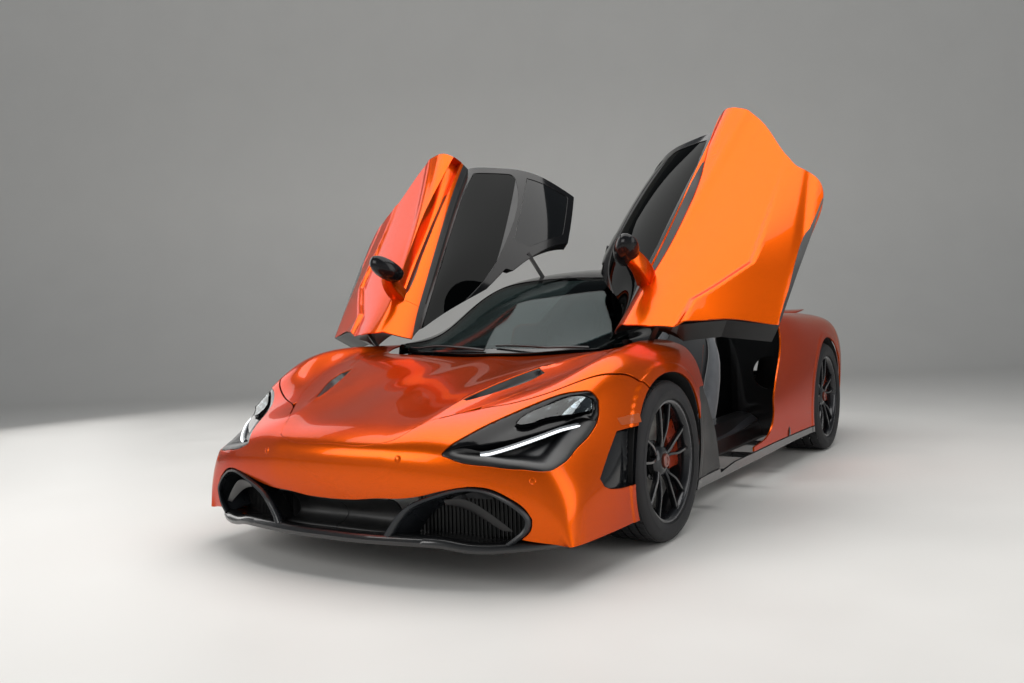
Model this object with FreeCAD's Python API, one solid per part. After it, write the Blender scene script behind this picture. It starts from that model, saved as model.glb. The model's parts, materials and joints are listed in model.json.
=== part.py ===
"""Supercar with two doors that swing up and forwards, stored with the doors open.

Frame in millimetres: +X is the car's left side, the nose points along -Y and +Z is up.
The origin is on the ground, on the centre plane, at half the car's length.
The painted body and the glasshouse are two smooth skins, each drawn through a few cross sections.
Panels are slices of those skins, cut along the real shut lines. The right side mirrors the left.
"""
import FreeCAD
import Part
import math
import os

V = FreeCAD.Vector
X, Y, Z = V(1, 0, 0), V(0, 1, 0), V(0, 0, 1)

# Driving sizes of the whole car
FRONT_OVERHANG = 1009.5
WHEELBASE = 2670.0
REAR_OVERHANG = 863.5
WIDTH = 1930.0
FRONT_TRACK = 1674.0
REAR_TRACK = 1629.0
LENGTH = FRONT_OVERHANG + WHEELBASE + REAR_OVERHANG
NOSE_Y = -LENGTH / 2
FRONT_AXLE_Y = NOSE_Y + FRONT_OVERHANG
REAR_AXLE_Y = FRONT_AXLE_Y + WHEELBASE
TAIL_Y = LENGTH / 2

# The tables and outlines below are drawn for these places of nose, axles and tail, and this width.
DRAWN_Y = [-2271.5, -1262.0, 1408.0, 2271.5]
PLACED_Y = [NOSE_Y, FRONT_AXLE_Y, REAR_AXLE_Y, TAIL_Y]
DRAWN_WIDTH = 1930.0

# Panels, glass and gaps
PANEL = 10.0
GLASS = 5.0
FRAME = 32.0
SHUT_GAP = 5.0
ROOF_GAP = 17.0
SEAT_GAP = 0.3
FLOOR_Z = 112.0
FLOOR_WALL = 28.0
SILL_Z = 196.0
DOOR_INNER_X = 792.0
TUB_FRONT_Y = -960.0
LAMP_DEPTH = 80.0
SPLITTER_Z = 130.0
SPLITTER_WALL = 20.0

# Wheels: tyre radius, tyre width, rim lip radius
FRONT_WHEEL = dict(y=FRONT_AXLE_Y, radius=327.0, width=245.0, lip=250.0, x=FRONT_TRACK / 2)
REAR_WHEEL = dict(y=REAR_AXLE_Y, radius=345.5, width=300.0, lip=263.0, x=REAR_TRACK / 2)
FRONT_ARCH = 363.0
REAR_ARCH = 385.0
LINER = 5.0
KINGPIN_X = FRONT_TRACK / 2 - 29
ARM_LOW, ARM_HIGH, ARM_WALL = 182.0, 452.0, 20.0
SPINDLE = 22.0
PIN = 8.0
BALL_PIN = 9.0
FRONT_WELL_X = FRONT_TRACK / 2 - 292
REAR_WELL_X = REAR_TRACK / 2 - 214.5

# Frame rails, luggage bay and the hinge pins of the bonnet and the wing
FRONT_RAIL_X = FRONT_WELL_X - 90
REAR_RAIL_X = REAR_WELL_X - 170
RAIL = 50.0
RAIL_LOW, RAIL_HIGH = 330.0, 430.0
BAY_X = FRONT_RAIL_X - RAIL / 2
BAY_WALL = 6.0
BONNET_PIN_Y, BONNET_PIN_Z = -1092.0, 730.0
WING_PIN_Y, WING_PIN_Z = 1952.0, 888.0
JACK_X, JACK_Y, JACK_PAD = 700.0, (-700.0, 560.0), 60.0
DUCT_DEPTH = 55.0

# Door hinge line, from the roof joint to the joint at the foot of the pillar
HINGE_TOP = V(177, -270, 1132)
HINGE_FOOT = V(687, -1003, 638)
DOOR_OPEN = 74.0
HINGE_ARM = 16.0
MIRROR_HALF, MIRROR_GLASS_Y = V(95, 62, 48), 22.0
HINGE_EYE = 22.0
# Places of the two hinge eyes along the line, how far their arms reach, and what each arm points at
HINGE_EYES = [(0.0, 186.0, V(330, -175, 1152)), (1000.0, 300.0, V(905, -825, 640))]

# Body sections. Each row: name, y on the centre plane, sweep back of the flank, and (x, z) of the
# columns centre, mid, ridge, fold, peak, shoulder, flank, waist and sill.
BODY = [
    ("lip", -2235, 235, [(0, 285), (230, 285), (400, 292), (560, 268), (700, 190),
                         (785, 165), (835, 158), (865, 152), (885, 148)]),
    ("nose", -2262, 250, [(0, 392), (230, 392), (370, 390), (560, 380), (715, 355),
                          (805, 322), (860, 270), (890, 205), (905, 150)]),
    ("brow", -2250, 275, [(0, 475), (220, 475), (340, 474), (540, 462), (725, 434),
                          (820, 400), (880, 330), (910, 235), (918, 150)]),
    ("crown", -2180, 265, [(0, 532), (210, 530), (320, 534), (470, 528), (730, 496),
                           (830, 450), (893, 368), (922, 262), (926, 150)]),
    ("lamp", -2000, 200, [(0, 588), (210, 586), (355, 600), (450, 594), (725, 590),
                          (835, 548), (908, 425), (938, 290), (935, 150)]),
    ("fore", -1750, 110, [(0, 650), (220, 648), (415, 668), (585, 664), (745, 706),
                          (850, 668), (930, 520), (954, 330), (942, 150)]),
    ("arch", -1500, 30, [(0, 698), (220, 696), (510, 730), (690, 724), (790, 778),
                         (872, 742), (944, 620), (960, 400), (945, 150)]),
    ("axle", -1262, 0, [(0, 735), (220, 735), (590, 770), (730, 778), (805, 810),
                        (880, 775), (952, 695), (964, 440), (945, 150)]),
    ("scuttle", -1020, 0, [(0, 762), (240, 760), (560, 772), (690, 792), (765, 812),
                           (865, 785), (945, 708), (955, 440), (935, 150)]),
    ("pillar", -750, 0, [(0, 800), (250, 800), (480, 790), (620, 802), (730, 812),
                         (842, 790), (914, 700), (940, 430), (925, 145)]),
    ("door", -300, 0, [(0, 815), (250, 815), (470, 815), (600, 825), (720, 834),
                       (835, 806), (892, 675), (932, 430), (925, 145)]),
    ("waist", 200, 0, [(0, 830), (250, 830), (470, 830), (600, 838), (722, 862),
                       (848, 846), (894, 700), (931, 430), (925, 145)]),
    ("intake", 650, 0, [(0, 845), (250, 845), (470, 852), (610, 862), (740, 892),
                        (880, 880), (928, 740), (950, 450), (930, 150)]),
    ("haunch", 1050, 0, [(0, 850), (250, 850), (470, 855), (615, 872), (750, 900),
                         (882, 868), (950, 740), (963, 460), (945, 155)]),
    ("rear", 1408, 0, [(0, 852), (250, 852), (460, 856), (610, 876), (740, 897),
                       (875, 857), (954, 745), (964, 470), (948, 165)]),
    ("deck", 1750, -20, [(0, 855), (250, 855), (450, 858), (590, 872), (710, 887),
                         (860, 850), (940, 745), (957, 490), (930, 200)]),
    ("ducktail", 2000, -60, [(0, 862), (240, 862), (430, 864), (560, 868), (670, 874),
                             (815, 842), (900, 745), (925, 510), (900, 250)]),
    ("tail", 2180, -110, [(0, 868), (230, 868), (410, 868), (530, 866), (625, 862),
                          (760, 825), (842, 730), (872, 530), (862, 300)]),
]
BODY_HALF = 950.0

# Glasshouse sections, with the columns ridge, mid, rail, glass, base and root.
HOUSE = [
    ("cowl", -1100, 120, [(0, 768), (220, 768), (420, 778), (560, 790), (670, 802), (680, 765)]),
    ("screen", -800, 70, [(0, 940), (220, 935), (430, 905), (575, 860), (700, 812), (712, 775)]),
    ("brow", -450, 25, [(0, 1122), (220, 1114), (445, 1068), (620, 950), (710, 828), (722, 790)]),
    ("header", -100, 0, [(0, 1184), (220, 1174), (445, 1120), (622, 985), (716, 838), (728, 800)]),
    ("roof", 250, 0, [(0, 1196), (220, 1185), (430, 1130), (605, 1000), (718, 852), (730, 812)]),
    ("hoop", 600, 0, [(0, 1172), (220, 1160), (410, 1112), (580, 990), (700, 868), (712, 828)]),
    ("glass", 1000, 0, [(0, 1115), (220, 1100), (390, 1050), (530, 955), (650, 878), (662, 840)]),
    ("fast", 1400, 0, [(0, 1030), (200, 1020), (350, 980), (470, 920), (580, 872), (592, 835)]),
    ("end", 1750, 0, [(0, 930), (180, 925), (310, 905), (410, 882), (500, 866), (512, 830)]),
]
HOUSE_HALF = 660.0

# Outlines on the left side. Seen from above as (x, y):
BONNET = [(0, -2240), (140, -2238), (225, -2224), (290, -2195), (338, -2108), (450, -1958),
          (528, -1845), (589, -1733), (655, -1605), (697, -1490), (706, -1400), (690, -1335),
          (650, -1235), (600, -1120), (470, -1092), (0, -1098)]
FENDER_SEAM = [(380, -2050), (466, -1948), (605, -1862), (765, -1735), (858, -1590), (897, -1514),
               (1010, -1370)]
LAMP = [(480, -2190), (522, -2120), (583, -1992), (644, -1896), (723, -1812), (797, -1757),
        (838, -1717), (861, -1713), (876, -1747), (875, -1812), (862, -1896), (851, -1977),
        (827, -2040), (745, -2098), (641, -2146), (559, -2175)]
LAMP_LENS = [(654, -1975), (668, -1916), (736, -1835), (812, -1759), (849, -1730), (858, -1763),
             (809, -1852), (741, -1913), (687, -1970)]
LAMP_BLADE = [(590, -2150), (640, -2120), (850, -1850), (858, -1830), (850, -1812), (632, -2086)]
BONNET_VENT = [(371, -1893), (386, -1826), (435, -1683), (503, -1530), (548, -1560), (523, -1662),
               (458, -1782), (393, -1892)]
HOUSE_FOOT = [(0, -1104), (470, -1100), (604, -1124), (650, -1090), (680, -1045), (722, -800),
              (735, -450), (742, -100), (744, 250), (728, 600), (676, 1000), (606, 1400), (526, 1765), (0, 1765)]
DECK = [(640, 1180), (600, 1400), (620, 1800), (650, 1925), (0, 1925)]
REAR_SEAM = [(600, 1905), (730, 1955), (990, 1700)]
SCREEN = [(0, -1062), (440, -1040), (618, -1000), (640, -950), (528, -720), (425, -450),
          (385, -400), (0, -400)]
SIDE_GLASS = [(682, -860), (603, -700), (508, -440), (480, -300), (478, 400), (505, 445),
              (676, 445), (698, 250), (702, -300), (694, -780)]
ROOF_GLASS = [(150, 90), (330, -120), (425, -120), (422, 430), (150, 430)]
DOOR_TOP = [(720, -1010), (668, -925), (575, -720), (470, -450), (425, -330), (105, -330),
            (105, 470), (480, 500), (800, 505), (800, -1010)]
REAR_SCREEN = [(0, 640), (330, 640), (380, 700), (330, 1100), (270, 1500), (230, 1690), (0, 1690)]
QUARTER_GLASS = [(470, 640), (655, 640), (610, 860), (540, 1010), (440, 1010), (452, 800)]
DOOR_DUCT = [(840, -640), (868, -640), (870, -450), (867, -200), (858, 100), (838, 350), (812, 560),
             (757, 560), (775, 300), (796, 0), (808, -300), (818, -560)]
SPLITTER = [(0, -2271.5), (300, -2262), (560, -2205), (690, -2150), (790, -2040), (845, -1900),
            (700, -1880), (0, -1880)]
# Seen from the side as (y, z):
DOOR_SIDE = [(-900, 905), (-930, 790), (-985, 715), (-960, 672), (-887, 607), (-809, 554),
             (-745, 470), (-684, 385), (-600, 180), (-313, 208), (-119, 224), (130, 248),
             (215, 290), (252, 350), (262, 430), (310, 500), (470, 690), (505, 790), (500, 905)]
SIDE_VENT = [(-1500, 514), (-1694, 502), (-1852, 352), (-1835, 322), (-1790, 306), (-1500, 296)]
# Seen from the front as (x, z):
INTAKE_MOUTH = [(430, 100), (430, 316), (552, 344), (663, 318), (752, 258), (764, 230),
                (764, 100)]

# The doors turn about their hinge line inside this profile of revolution, as (along, radius).
DOOR_SHIELD = [(-300, 0), (-300, 150), (850, 150), (966, 258), (1048, 283), (1190, 524),
               (1270, 660), (1270, 0)]

KEPT = {}


def along(y):
    """The place of a drawn station, when the nose, the axles or the tail are moved."""
    k = 0
    while k < 2 and y > DRAWN_Y[k + 1]:
        k += 1
    a, b = DRAWN_Y[k], DRAWN_Y[k + 1]
    p, q = PLACED_Y[k], PLACED_Y[k + 1]
    return p + (y - a) * (q - p) / (b - a)


def across(x):
    return x * WIDTH / DRAWN_WIDTH


def at(x, y, z):
    return V(across(x), along(y), z)


def natural(places, values):
    """Natural cubic spline through the values, as a function."""
    n = len(places)
    step = [places[i + 1] - places[i] for i in range(n - 1)]
    diagonal, right = [1.0] * n, [0.0] * n
    for i in range(1, n - 1):
        slope_after = (values[i + 1] - values[i]) / step[i]
        slope_before = (values[i] - values[i - 1]) / step[i - 1]
        lower = step[i - 1] / diagonal[i - 1] if i > 1 else 0.0
        upper_before = step[i - 1] if i > 1 else 0.0
        diagonal[i] = 2 * (step[i - 1] + step[i]) - lower * upper_before
        right[i] = 6 * (slope_after - slope_before) - lower * right[i - 1]
    bend = [0.0] * n
    for i in range(n - 2, 0, -1):
        bend[i] = (right[i] - step[i] * bend[i + 1]) / diagonal[i]

    def value(t):
        k = 0
        while k < n - 2 and t > places[k + 1]:
            k += 1
        u, q = t - places[k], step[k]
        slope = (values[k + 1] - values[k]) / q - q * (2 * bend[k] + bend[k + 1]) / 6
        return values[k] + u * slope + u * u * bend[k] / 2 + u ** 3 * (bend[k + 1] - bend[k]) / (6 * q)

    return value


def spread(low, high, count):
    return [low + (high - low) * i / (count - 1) for i in range(count)]


class Skin:
    """A smooth skin through mirrored cross sections, which bow back towards the flanks."""

    def __init__(self, rows, half, lengthwise, crosswise):
        net = []
        for name, y, bow, columns in rows:
            left = [at(x, y + bow * (x / half) ** 2.2, z) for x, z in columns]
            net.append([V(-p.x, p.y, p.z) for p in left[:0:-1]] + left)
        rows_at, columns_at = [0.0], [0.0]
        for a, b in zip(net, net[1:]):
            rows_at.append(rows_at[-1] + sum((q - p).Length for p, q in zip(a, b)) / len(a))
        turned = list(zip(*net))
        for a, b in zip(turned, turned[1:]):
            columns_at.append(columns_at[-1] + sum((q - p).Length for p, q in zip(a, b)) / len(a))
        columns = [[natural(rows_at, [getattr(p, k) for p in column]) for k in "xyz"]
                   for column in turned]
        self.grid = []
        for t in spread(0, rows_at[-1], lengthwise):
            row = [[f(t) for f in column] for column in columns]
            curve = [natural(columns_at, [p[k] for p in row]) for k in range(3)]
            self.grid.append([V(*[f(w) for f in curve]) for w in spread(0, columns_at[-1], crosswise)])

    def sunk(self, depth):
        """The grid moved inwards by a depth, along the skin's normals."""
        g = self.grid
        rows, width = len(g), len(g[0])
        result = []
        for i in range(rows):
            row = []
            for j in range(width):
                lengthwise = g[min(i + 1, rows - 1)][j] - g[max(i - 1, 0)][j]
                crosswise = g[i][min(j + 1, width - 1)] - g[i][max(j - 1, 0)]
                normal = crosswise.cross(lengthwise)
                normal.normalize()
                row.append(g[i][j] - normal * depth)
            result.append(row)
        return result

    def face(self, grid):
        surface = Part.BSplineSurface()
        surface.interpolate(grid)
        face = surface.toShape()
        ends = [(grid[0][0], grid[-1][0]), (grid[0][-1], grid[-1][-1]),
                (grid[0][0], grid[0][-1]), (grid[-1][0], grid[-1][-1])]
        return face, [edge_between(face, a, b) for a, b in ends]

    def layer(self, outer, inner):
        """The solid between two depths."""
        top, top_edges = self.face(self.sunk(outer))
        under, under_edges = self.face(self.sunk(inner))
        rims = [Part.makeRuledSurface(a, b) for a, b in zip(top_edges, under_edges)]
        return upright(Part.Solid(Part.Shell([top, under] + rims)))

    def whole(self, depth=0.0):
        """The closed solid under the skin, with a flat base between its two lower edges."""
        grid = self.sunk(depth)
        top, (left, right, front, rear) = self.face(grid)
        base = Part.makeRuledSurface(left, right)
        front_chord = edge_between(base, grid[0][0], grid[0][-1])
        rear_chord = edge_between(base, grid[-1][0], grid[-1][-1])
        caps = [Part.makeRuledSurface(front, front_chord), Part.makeRuledSurface(rear, rear_chord)]
        return upright(Part.Solid(Part.Shell([top, base] + caps)))


def upright(solid):
    if solid.Volume < 0:
        solid.reverse()
    return solid


def edge_between(shape, a, b):
    for edge in shape.Edges:
        p, q = edge.Vertexes[0].Point, edge.Vertexes[-1].Point
        if min((p - a).Length + (q - b).Length, (p - b).Length + (q - a).Length) < 0.01:
            return edge
    raise ValueError("no such edge")


def both(points):
    """A half outline and its mirror image, as one closed outline."""
    return points + [(-x, y) for x, y in reversed(points) if x > 0]


def grown(points, by, closed=True):
    """An outline moved outwards by a distance, with mitred corners."""
    n = len(points)
    area = sum(points[i][0] * points[(i + 1) % n][1] - points[(i + 1) % n][0] * points[i][1]
               for i in range(n))
    side = 1.0 if area > 0 or not closed else -1.0
    result = []
    for i, (x, y) in enumerate(points):
        before = points[i - 1] if closed or i > 0 else None
        after = points[(i + 1) % n] if closed or i < n - 1 else None
        normals = []
        for a, b in ((before, (x, y)), ((x, y), after)):
            if a is not None and b is not None:
                dx, dy = b[0] - a[0], b[1] - a[1]
                length = math.hypot(dx, dy)
                normals.append((dy / length * side, -dx / length * side))
        nx = sum(k[0] for k in normals)
        ny = sum(k[1] for k in normals)
        scale = by * len(normals) / (nx * nx + ny * ny)
        result.append((x + nx * scale, y + ny * scale))
    return result


def rounded(corners, radius):
    """The edges of a closed outline whose corners are arcs."""
    edges, ends = [], []
    n = len(corners)
    for i in range(n):
        p, c, q = corners[i - 1], corners[i], corners[(i + 1) % n]
        a, b = p - c, q - c
        half_turn = a.getAngle(b) / 2
        reach = min(radius / math.tan(half_turn), 0.45 * a.Length, 0.45 * b.Length)
        a.normalize()
        b.normalize()
        if (a + b).Length < 0.02:
            ends.append((c, c))
            continue
        r = reach * math.tan(half_turn)
        bisector = a + b
        bisector.normalize()
        middle = c + bisector * (r / math.sin(half_turn) - r)
        start, stop = c + a * reach, c + b * reach
        edges.append((i, Part.Arc(start, middle, stop).toShape()))
        ends.append((start, stop))
    for i in range(n):
        a, b = ends[i - 1][1], ends[i][0]
        if (b - a).Length > 1e-6:
            edges.append((i - 0.5, Part.makeLine(a, b)))
    return [e for i, e in sorted(edges, key=lambda pair: pair[0])]


def prism(points, axis, low, high, radius=0.0):
    """A drawn outline pushed along an axis. Points are (x, y) for z, (y, z) for x, (x, z) for y."""
    place = {"z": lambda a, b, c: at(a, b, c), "x": lambda a, b, c: at(c, a, b),
             "y": lambda a, b, c: at(a, c, b)}[axis]
    corners = [place(a, b, low) for a, b in points]
    way = place(0, 0, high) - place(0, 0, low)
    if radius:
        wire = Part.Wire(rounded(corners, radius))
    else:
        wire = Part.makePolygon(corners + corners[:1])
    return Part.Face(wire).extrude(way)


def blade(points, axis, low, high, width=SHUT_GAP):
    """A thin wall along an open line, which cuts a shut line."""
    one = grown(points, width / 2, closed=False)
    other = grown(points, -width / 2, closed=False)
    return prism(one + other[::-1], axis, low, high)


def box(x0, x1, y0, y1, z0, z1):
    """A box between drawn places."""
    a, b = at(x0, y0, z0), at(x1, y1, z1)
    return Part.makeBox(b.x - a.x, b.y - a.y, b.z - a.z, a)


def block(x0, x1, y0, y1, z0, z1):
    """A box between real places."""
    return Part.makeBox(x1 - x0, y1 - y0, z1 - z0, V(x0, y0, z0))


def cyl(radius, start, way, length):
    return Part.makeCylinder(radius, length, start, way)


def bar(a, b, radius):
    return Part.makeCylinder(radius, (b - a).Length, a, b - a)


def mirrored(shape):
    return shape.mirror(V(0, 0, 0), X)


def with_mirror(shapes):
    return list(shapes) + [mirrored(shape) for shape in shapes]


def piece_at(shape, x, y, z):
    """The solid of a cut shape whose centre of mass lies nearest to a drawn point."""
    return min(shape.Solids, key=lambda s: (s.CenterOfMass - at(x, y, z)).Length)


def biggest(shape):
    return max(shape.Solids, key=lambda s: s.Volume)


def keep(name, shape):
    KEPT[name] = shape


def keep_sides(name, left):
    keep(name + "_left", left)
    keep(name + "_right", mirrored(left))


def keep_pair(name, *left):
    """Like pieces on the left and right, in one node."""
    keep(name, Part.Compound(with_mirror(left)))


def spin_profile(points):
    """Turn an (x, radius) profile round the X axis."""
    corners = [V(a, 0, b) for a, b in points]
    return Part.Face(Part.makePolygon(corners + corners[:1])).revolve(V(0, 0, 0), X, 360)


def swing(shape):
    """Turn a closed left door to its stored, open place."""
    opened = shape.copy()
    opened.rotate(HINGE_TOP, HINGE_FOOT - HINGE_TOP, DOOR_OPEN)
    return opened


body_skin = Skin(BODY, BODY_HALF, 34, 29)
house_skin = Skin(HOUSE, HOUSE_HALF, 16, 17)
under_panels = body_skin.whole(PANEL + SEAT_GAP)
painted = body_skin.layer(0, PANEL)
roof_space = house_skin.layer(-SEAT_GAP, FRAME + SEAT_GAP)


def arches(by=0.0):
    """The wheel openings, left and right, front and rear."""
    cuts = []
    for wheel, radius, inner in ((FRONT_WHEEL, FRONT_ARCH, FRONT_WELL_X),
                                 (REAR_WHEEL, REAR_ARCH, REAR_WELL_X)):
        cuts.append(cyl(radius + by, V(inner - by, wheel["y"], wheel["radius"]), X, WIDTH))
    return with_mirror(cuts)


def hinge_axis():
    axis = HINGE_FOOT - HINGE_TOP
    axis.normalize()
    return axis


def shield(by=0.0):
    """The solid of revolution about the hinge line that the door always stays outside."""
    axis = hinge_axis()
    out = axis.cross(Z)
    out.normalize()
    profile = [(s, r + by if r else 0) for s, r in DOOR_SHIELD]
    corners = [HINGE_TOP + axis * s + out * r for s, r in profile]
    return upright(Part.Face(Part.makePolygon(corners + corners[:1])).revolve(HINGE_TOP, axis, 360))


def doorway(gap=0.0):
    """The space that a closed left door fills, in the body side and in the roof."""
    side = prism(grown(DOOR_SIDE, gap), "x", 640, 1100)
    top = prism(grown(DOOR_TOP, gap), "z", 700, 1300)
    return side, top, shield(SHUT_GAP - gap)


def hinge_piece(place, reach, target, by=0.0):
    """The eye and arm of one door hinge, closed, without its bore."""
    axis = hinge_axis()
    centre = HINGE_TOP + axis * place
    out = target - centre
    out = out - axis * out.dot(axis)
    out.normalize()
    thick = HINGE_ARM / 2 + by
    over = axis.cross(out)
    corners = [centre - axis * thick - over * (10 + by), centre + axis * thick - over * (10 + by)]
    corners += [corners[1] + out * (reach + by), corners[0] + out * (reach + by)]
    arm = Part.Face(Part.makePolygon(corners + corners[:1])).extrude(over * (20 + 2 * by))
    eye = cyl(HINGE_EYE + by, centre - axis * (12 + by), axis, 24 + 2 * by)
    return upright(arm).fuse(eye)


def hinge_sweep(place, reach, target):
    """The space that an arm needs between the closed and the open door."""
    axis = hinge_axis()
    centre = HINGE_TOP + axis * place
    out = target - centre
    out = out - axis * out.dot(axis)
    out.normalize()
    thick = HINGE_ARM / 2 + SHUT_GAP
    corners = [centre - axis * thick, centre + axis * thick]
    corners += [corners[1] + out * (reach + SHUT_GAP), corners[0] + out * (reach + SHUT_GAP)]
    sector = upright(Part.Face(Part.makePolygon(corners + corners[:1])).revolve(
        HINGE_TOP, axis, DOOR_OPEN))
    closed = hinge_piece(place, reach, target, SHUT_GAP)
    return sector.fuse([closed, swing(closed)])


sweeps = [hinge_sweep(*eye) for eye in HINGE_EYES]
sweeps = with_mirror(sweeps)


def make_panels():
    """Cut the painted skin into its panels."""
    side, top, fixed = doorway(SHUT_GAP)
    opening = prism(both(HOUSE_FOOT), "z", 560, 1100)
    mouth = prism(INTAKE_MOUTH, "y", -2500, -1880)
    tools = arches() + [opening, prism(both(DECK), "z", 560, 1100)]
    tools += with_mirror([side.cut(fixed), prism(LAMP, "z", 200, 900), mouth,
                          prism(SIDE_VENT, "x", 700, 1100), prism(BONNET_VENT, "z", 500, 900),
                          blade(FENDER_SEAM, "z", 300, 900), blade(REAR_SEAM, "z", 240, 1000),
                          box(700, 1100, -1000, 1150, SILL_Z - SHUT_GAP, SILL_Z)])
    ring = prism(grown(both(BONNET), SHUT_GAP / 2), "z", 420, 900)
    tools.append(ring.cut(prism(grown(both(BONNET), -SHUT_GAP / 2), "z", 400, 920)))
    cut = painted.cut(tools)
    keep("bonnet", piece_at(cut, 0, -1620, 660).fuse(bonnet_lugs()))
    keep("front_bumper", piece_at(cut, 0, -2100, 370))
    keep_pair("front_fenders", biggest(piece_at(cut, 851, -1166, 687).cut(sweeps)))
    keep_pair("rear_quarters", piece_at(cut, 872, 1077, 702))
    keep("rear_deck", piece_at(cut, 0, 1983, 670).fuse(wing_stands()))
    cover = painted.common(prism(grown(both(DECK), -SHUT_GAP), "z", 560, 1100))
    rim = body_skin.layer(PANEL / 2, PANEL + 5).common(
        prism(grown(both(DECK), -SHUT_GAP), "z", 560, 1100))
    ledge = body_skin.layer(PANEL + SEAT_GAP, PANEL + 5).common(
        prism(grown(both(DECK), 8), "z", 560, 1100))
    core = prism(grown(both(DECK), -SHUT_GAP - 12), "z", 550, 1110)
    cover = cover.fuse([rim.cut(core), ledge.cut(core)])
    keep("engine_cover", biggest(cover.cut([opening] + arches(LINER + SEAT_GAP))))
    keep_pair("side_skirts", piece_at(cut, 913, 28, 166))


def wing_stands():
    parts = []
    for side in (-1, 1):
        x = across(side * 350)
        parts.append(cyl(PIN / 2, V(x - 30, along(WING_PIN_Y), WING_PIN_Z), X, 60))
        parts.append(block(x - 9, x + 9, along(WING_PIN_Y) - 8, along(WING_PIN_Y) + 8,
                           WING_PIN_Z - 26, WING_PIN_Z + 3))
    return parts


def bonnet_lugs():
    lugs = []
    y = along(BONNET_PIN_Y)
    for side in (-1, 1):
        x = side * (BAY_X - 10)
        plate = cyl(13, V(x - 15, y, BONNET_PIN_Z), X, 30)
        web = block(x - 15, x + 15, y - 40, y - 10, BONNET_PIN_Z - 10, BONNET_PIN_Z + 24)
        lug = plate.fuse(web).common(body_skin.whole(PANEL / 2))
        lugs.append(lug.cut(cyl(PIN + SEAT_GAP, V(x - 30, y, BONNET_PIN_Z), X, 60)))
    return lugs


def make_house():
    """The glass and the fixed frame of the roof."""
    frame = house_skin.layer(0, FRAME)
    glass = house_skin.layer(GLASS, 2 * GLASS)
    side, top, fixed = doorway(SHUT_GAP)
    top = prism(grown(DOOR_TOP, ROOF_GAP), "z", 700, 1300)
    bonnet_sweep = cyl(36, V(-WIDTH / 2, along(BONNET_PIN_Y), BONNET_PIN_Z), X, WIDTH)
    corner = prism([(340, -330), (345, -366), (440, -376), (440, -330)], "z", 700, 1300)
    holes = with_mirror([top.fuse(corner).cut(fixed), prism(QUARTER_GLASS, "z", 700, 1300, 25)])
    holes += [prism(both(SCREEN), "z", 700, 1300, 40), prism(both(REAR_SCREEN), "z", 700, 1300, 40),
              bonnet_sweep, box(-700, 700, -1300, -1085, 600, 900)]
    foot = painted.cut(prism(grown(both(HOUSE_FOOT), -SEAT_GAP), "z", 560, 1100))
    frame = frame.cut(holes + sweeps).cut(foot)
    pin = cyl(PIN, HINGE_TOP - hinge_axis() * 32, hinge_axis(), 64).common(house_skin.whole(2))
    keep("roof_frame", biggest(frame.fuse(with_mirror([pin]))))
    screen = glass.common(prism(grown(both(SCREEN), -SEAT_GAP), "z", 700, 1300, 40))
    keep("windscreen", screen.cut(sweeps))
    rear = glass.common(prism(grown(both(REAR_SCREEN), -SEAT_GAP), "z", 700, 1300, 40))
    pane = glass.common(prism(grown(QUARTER_GLASS, -SEAT_GAP), "z", 700, 1300, 25))
    keep("rear_windows", Part.Compound([rear] + with_mirror([pane])))


def make_doors():
    """A door is one shell with a lower body, a window frame and a strip of roof."""
    side, top, fixed = doorway()
    inner = prism([(0, 50), (DOOR_INNER_X, 50), (DOOR_INNER_X, 720), (702, 790), (702, 950),
                   (0, 950)], "y", -1100, 700)
    duct = body_skin.layer(-1, DUCT_DEPTH).common(prism(DOOR_DUCT, "z", 640, 1000))
    lower = body_skin.whole().common(side).cut([inner, fixed, duct])
    windows = [prism(SIDE_GLASS, "z", 700, 1300, 20), prism(ROOF_GLASS, "z", 700, 1300, 20)]
    upper = house_skin.layer(0, FRAME).common(top).cut(windows + [fixed])
    shell = biggest(lower.fuse(upper))
    arms = [hinge_piece(*eye) for eye in HINGE_EYES]
    pin_line = HINGE_TOP - hinge_axis() * 50
    shell = shell.fuse(arms + [mirror_stalk()]).cut(cyl(PIN + SEAT_GAP, pin_line, hinge_axis(), 1200))
    pane = house_skin.layer(GLASS, 2 * GLASS)
    panes = [pane.common(prism(grown(outline, -SEAT_GAP), "z", 700, 1300, 20)).cut(fixed)
             for outline in (SIDE_GLASS, ROOF_GLASS)]
    for name, shape in (("door", shell), ("door_glass", Part.Compound(panes)),
                        ("mirror", mirror())):
        keep_sides(name, swing(shape))


def mirror_stalk(by=0.0):
    """The curved stalk that rises from the door's belt."""
    outline = [(820, 750), (900, 770), (985, 838), (1015, 890), (975, 905), (925, 850), (830, 815)]
    return prism(grown(outline, by), "y", -640 - by, -585 + by, 10 + by)


def mirror():
    """A flat-backed oval head that sits on the stalk."""
    stretch = FreeCAD.Matrix()
    stretch.scale(MIRROR_HALF.x, MIRROR_HALF.y, MIRROR_HALF.z)
    ball = Part.makeSphere(1)
    ball.rotate(V(0, 0, 0), X, 90)
    head = upright(ball.transformGeometry(stretch))
    head = head.common(Part.makeBox(300, 300, 300, V(-150, MIRROR_GLASS_Y - 300, -150)))
    head.translate(at(1008, -600, 905))
    return biggest(head.cut(mirror_stalk(SEAT_GAP)))


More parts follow.
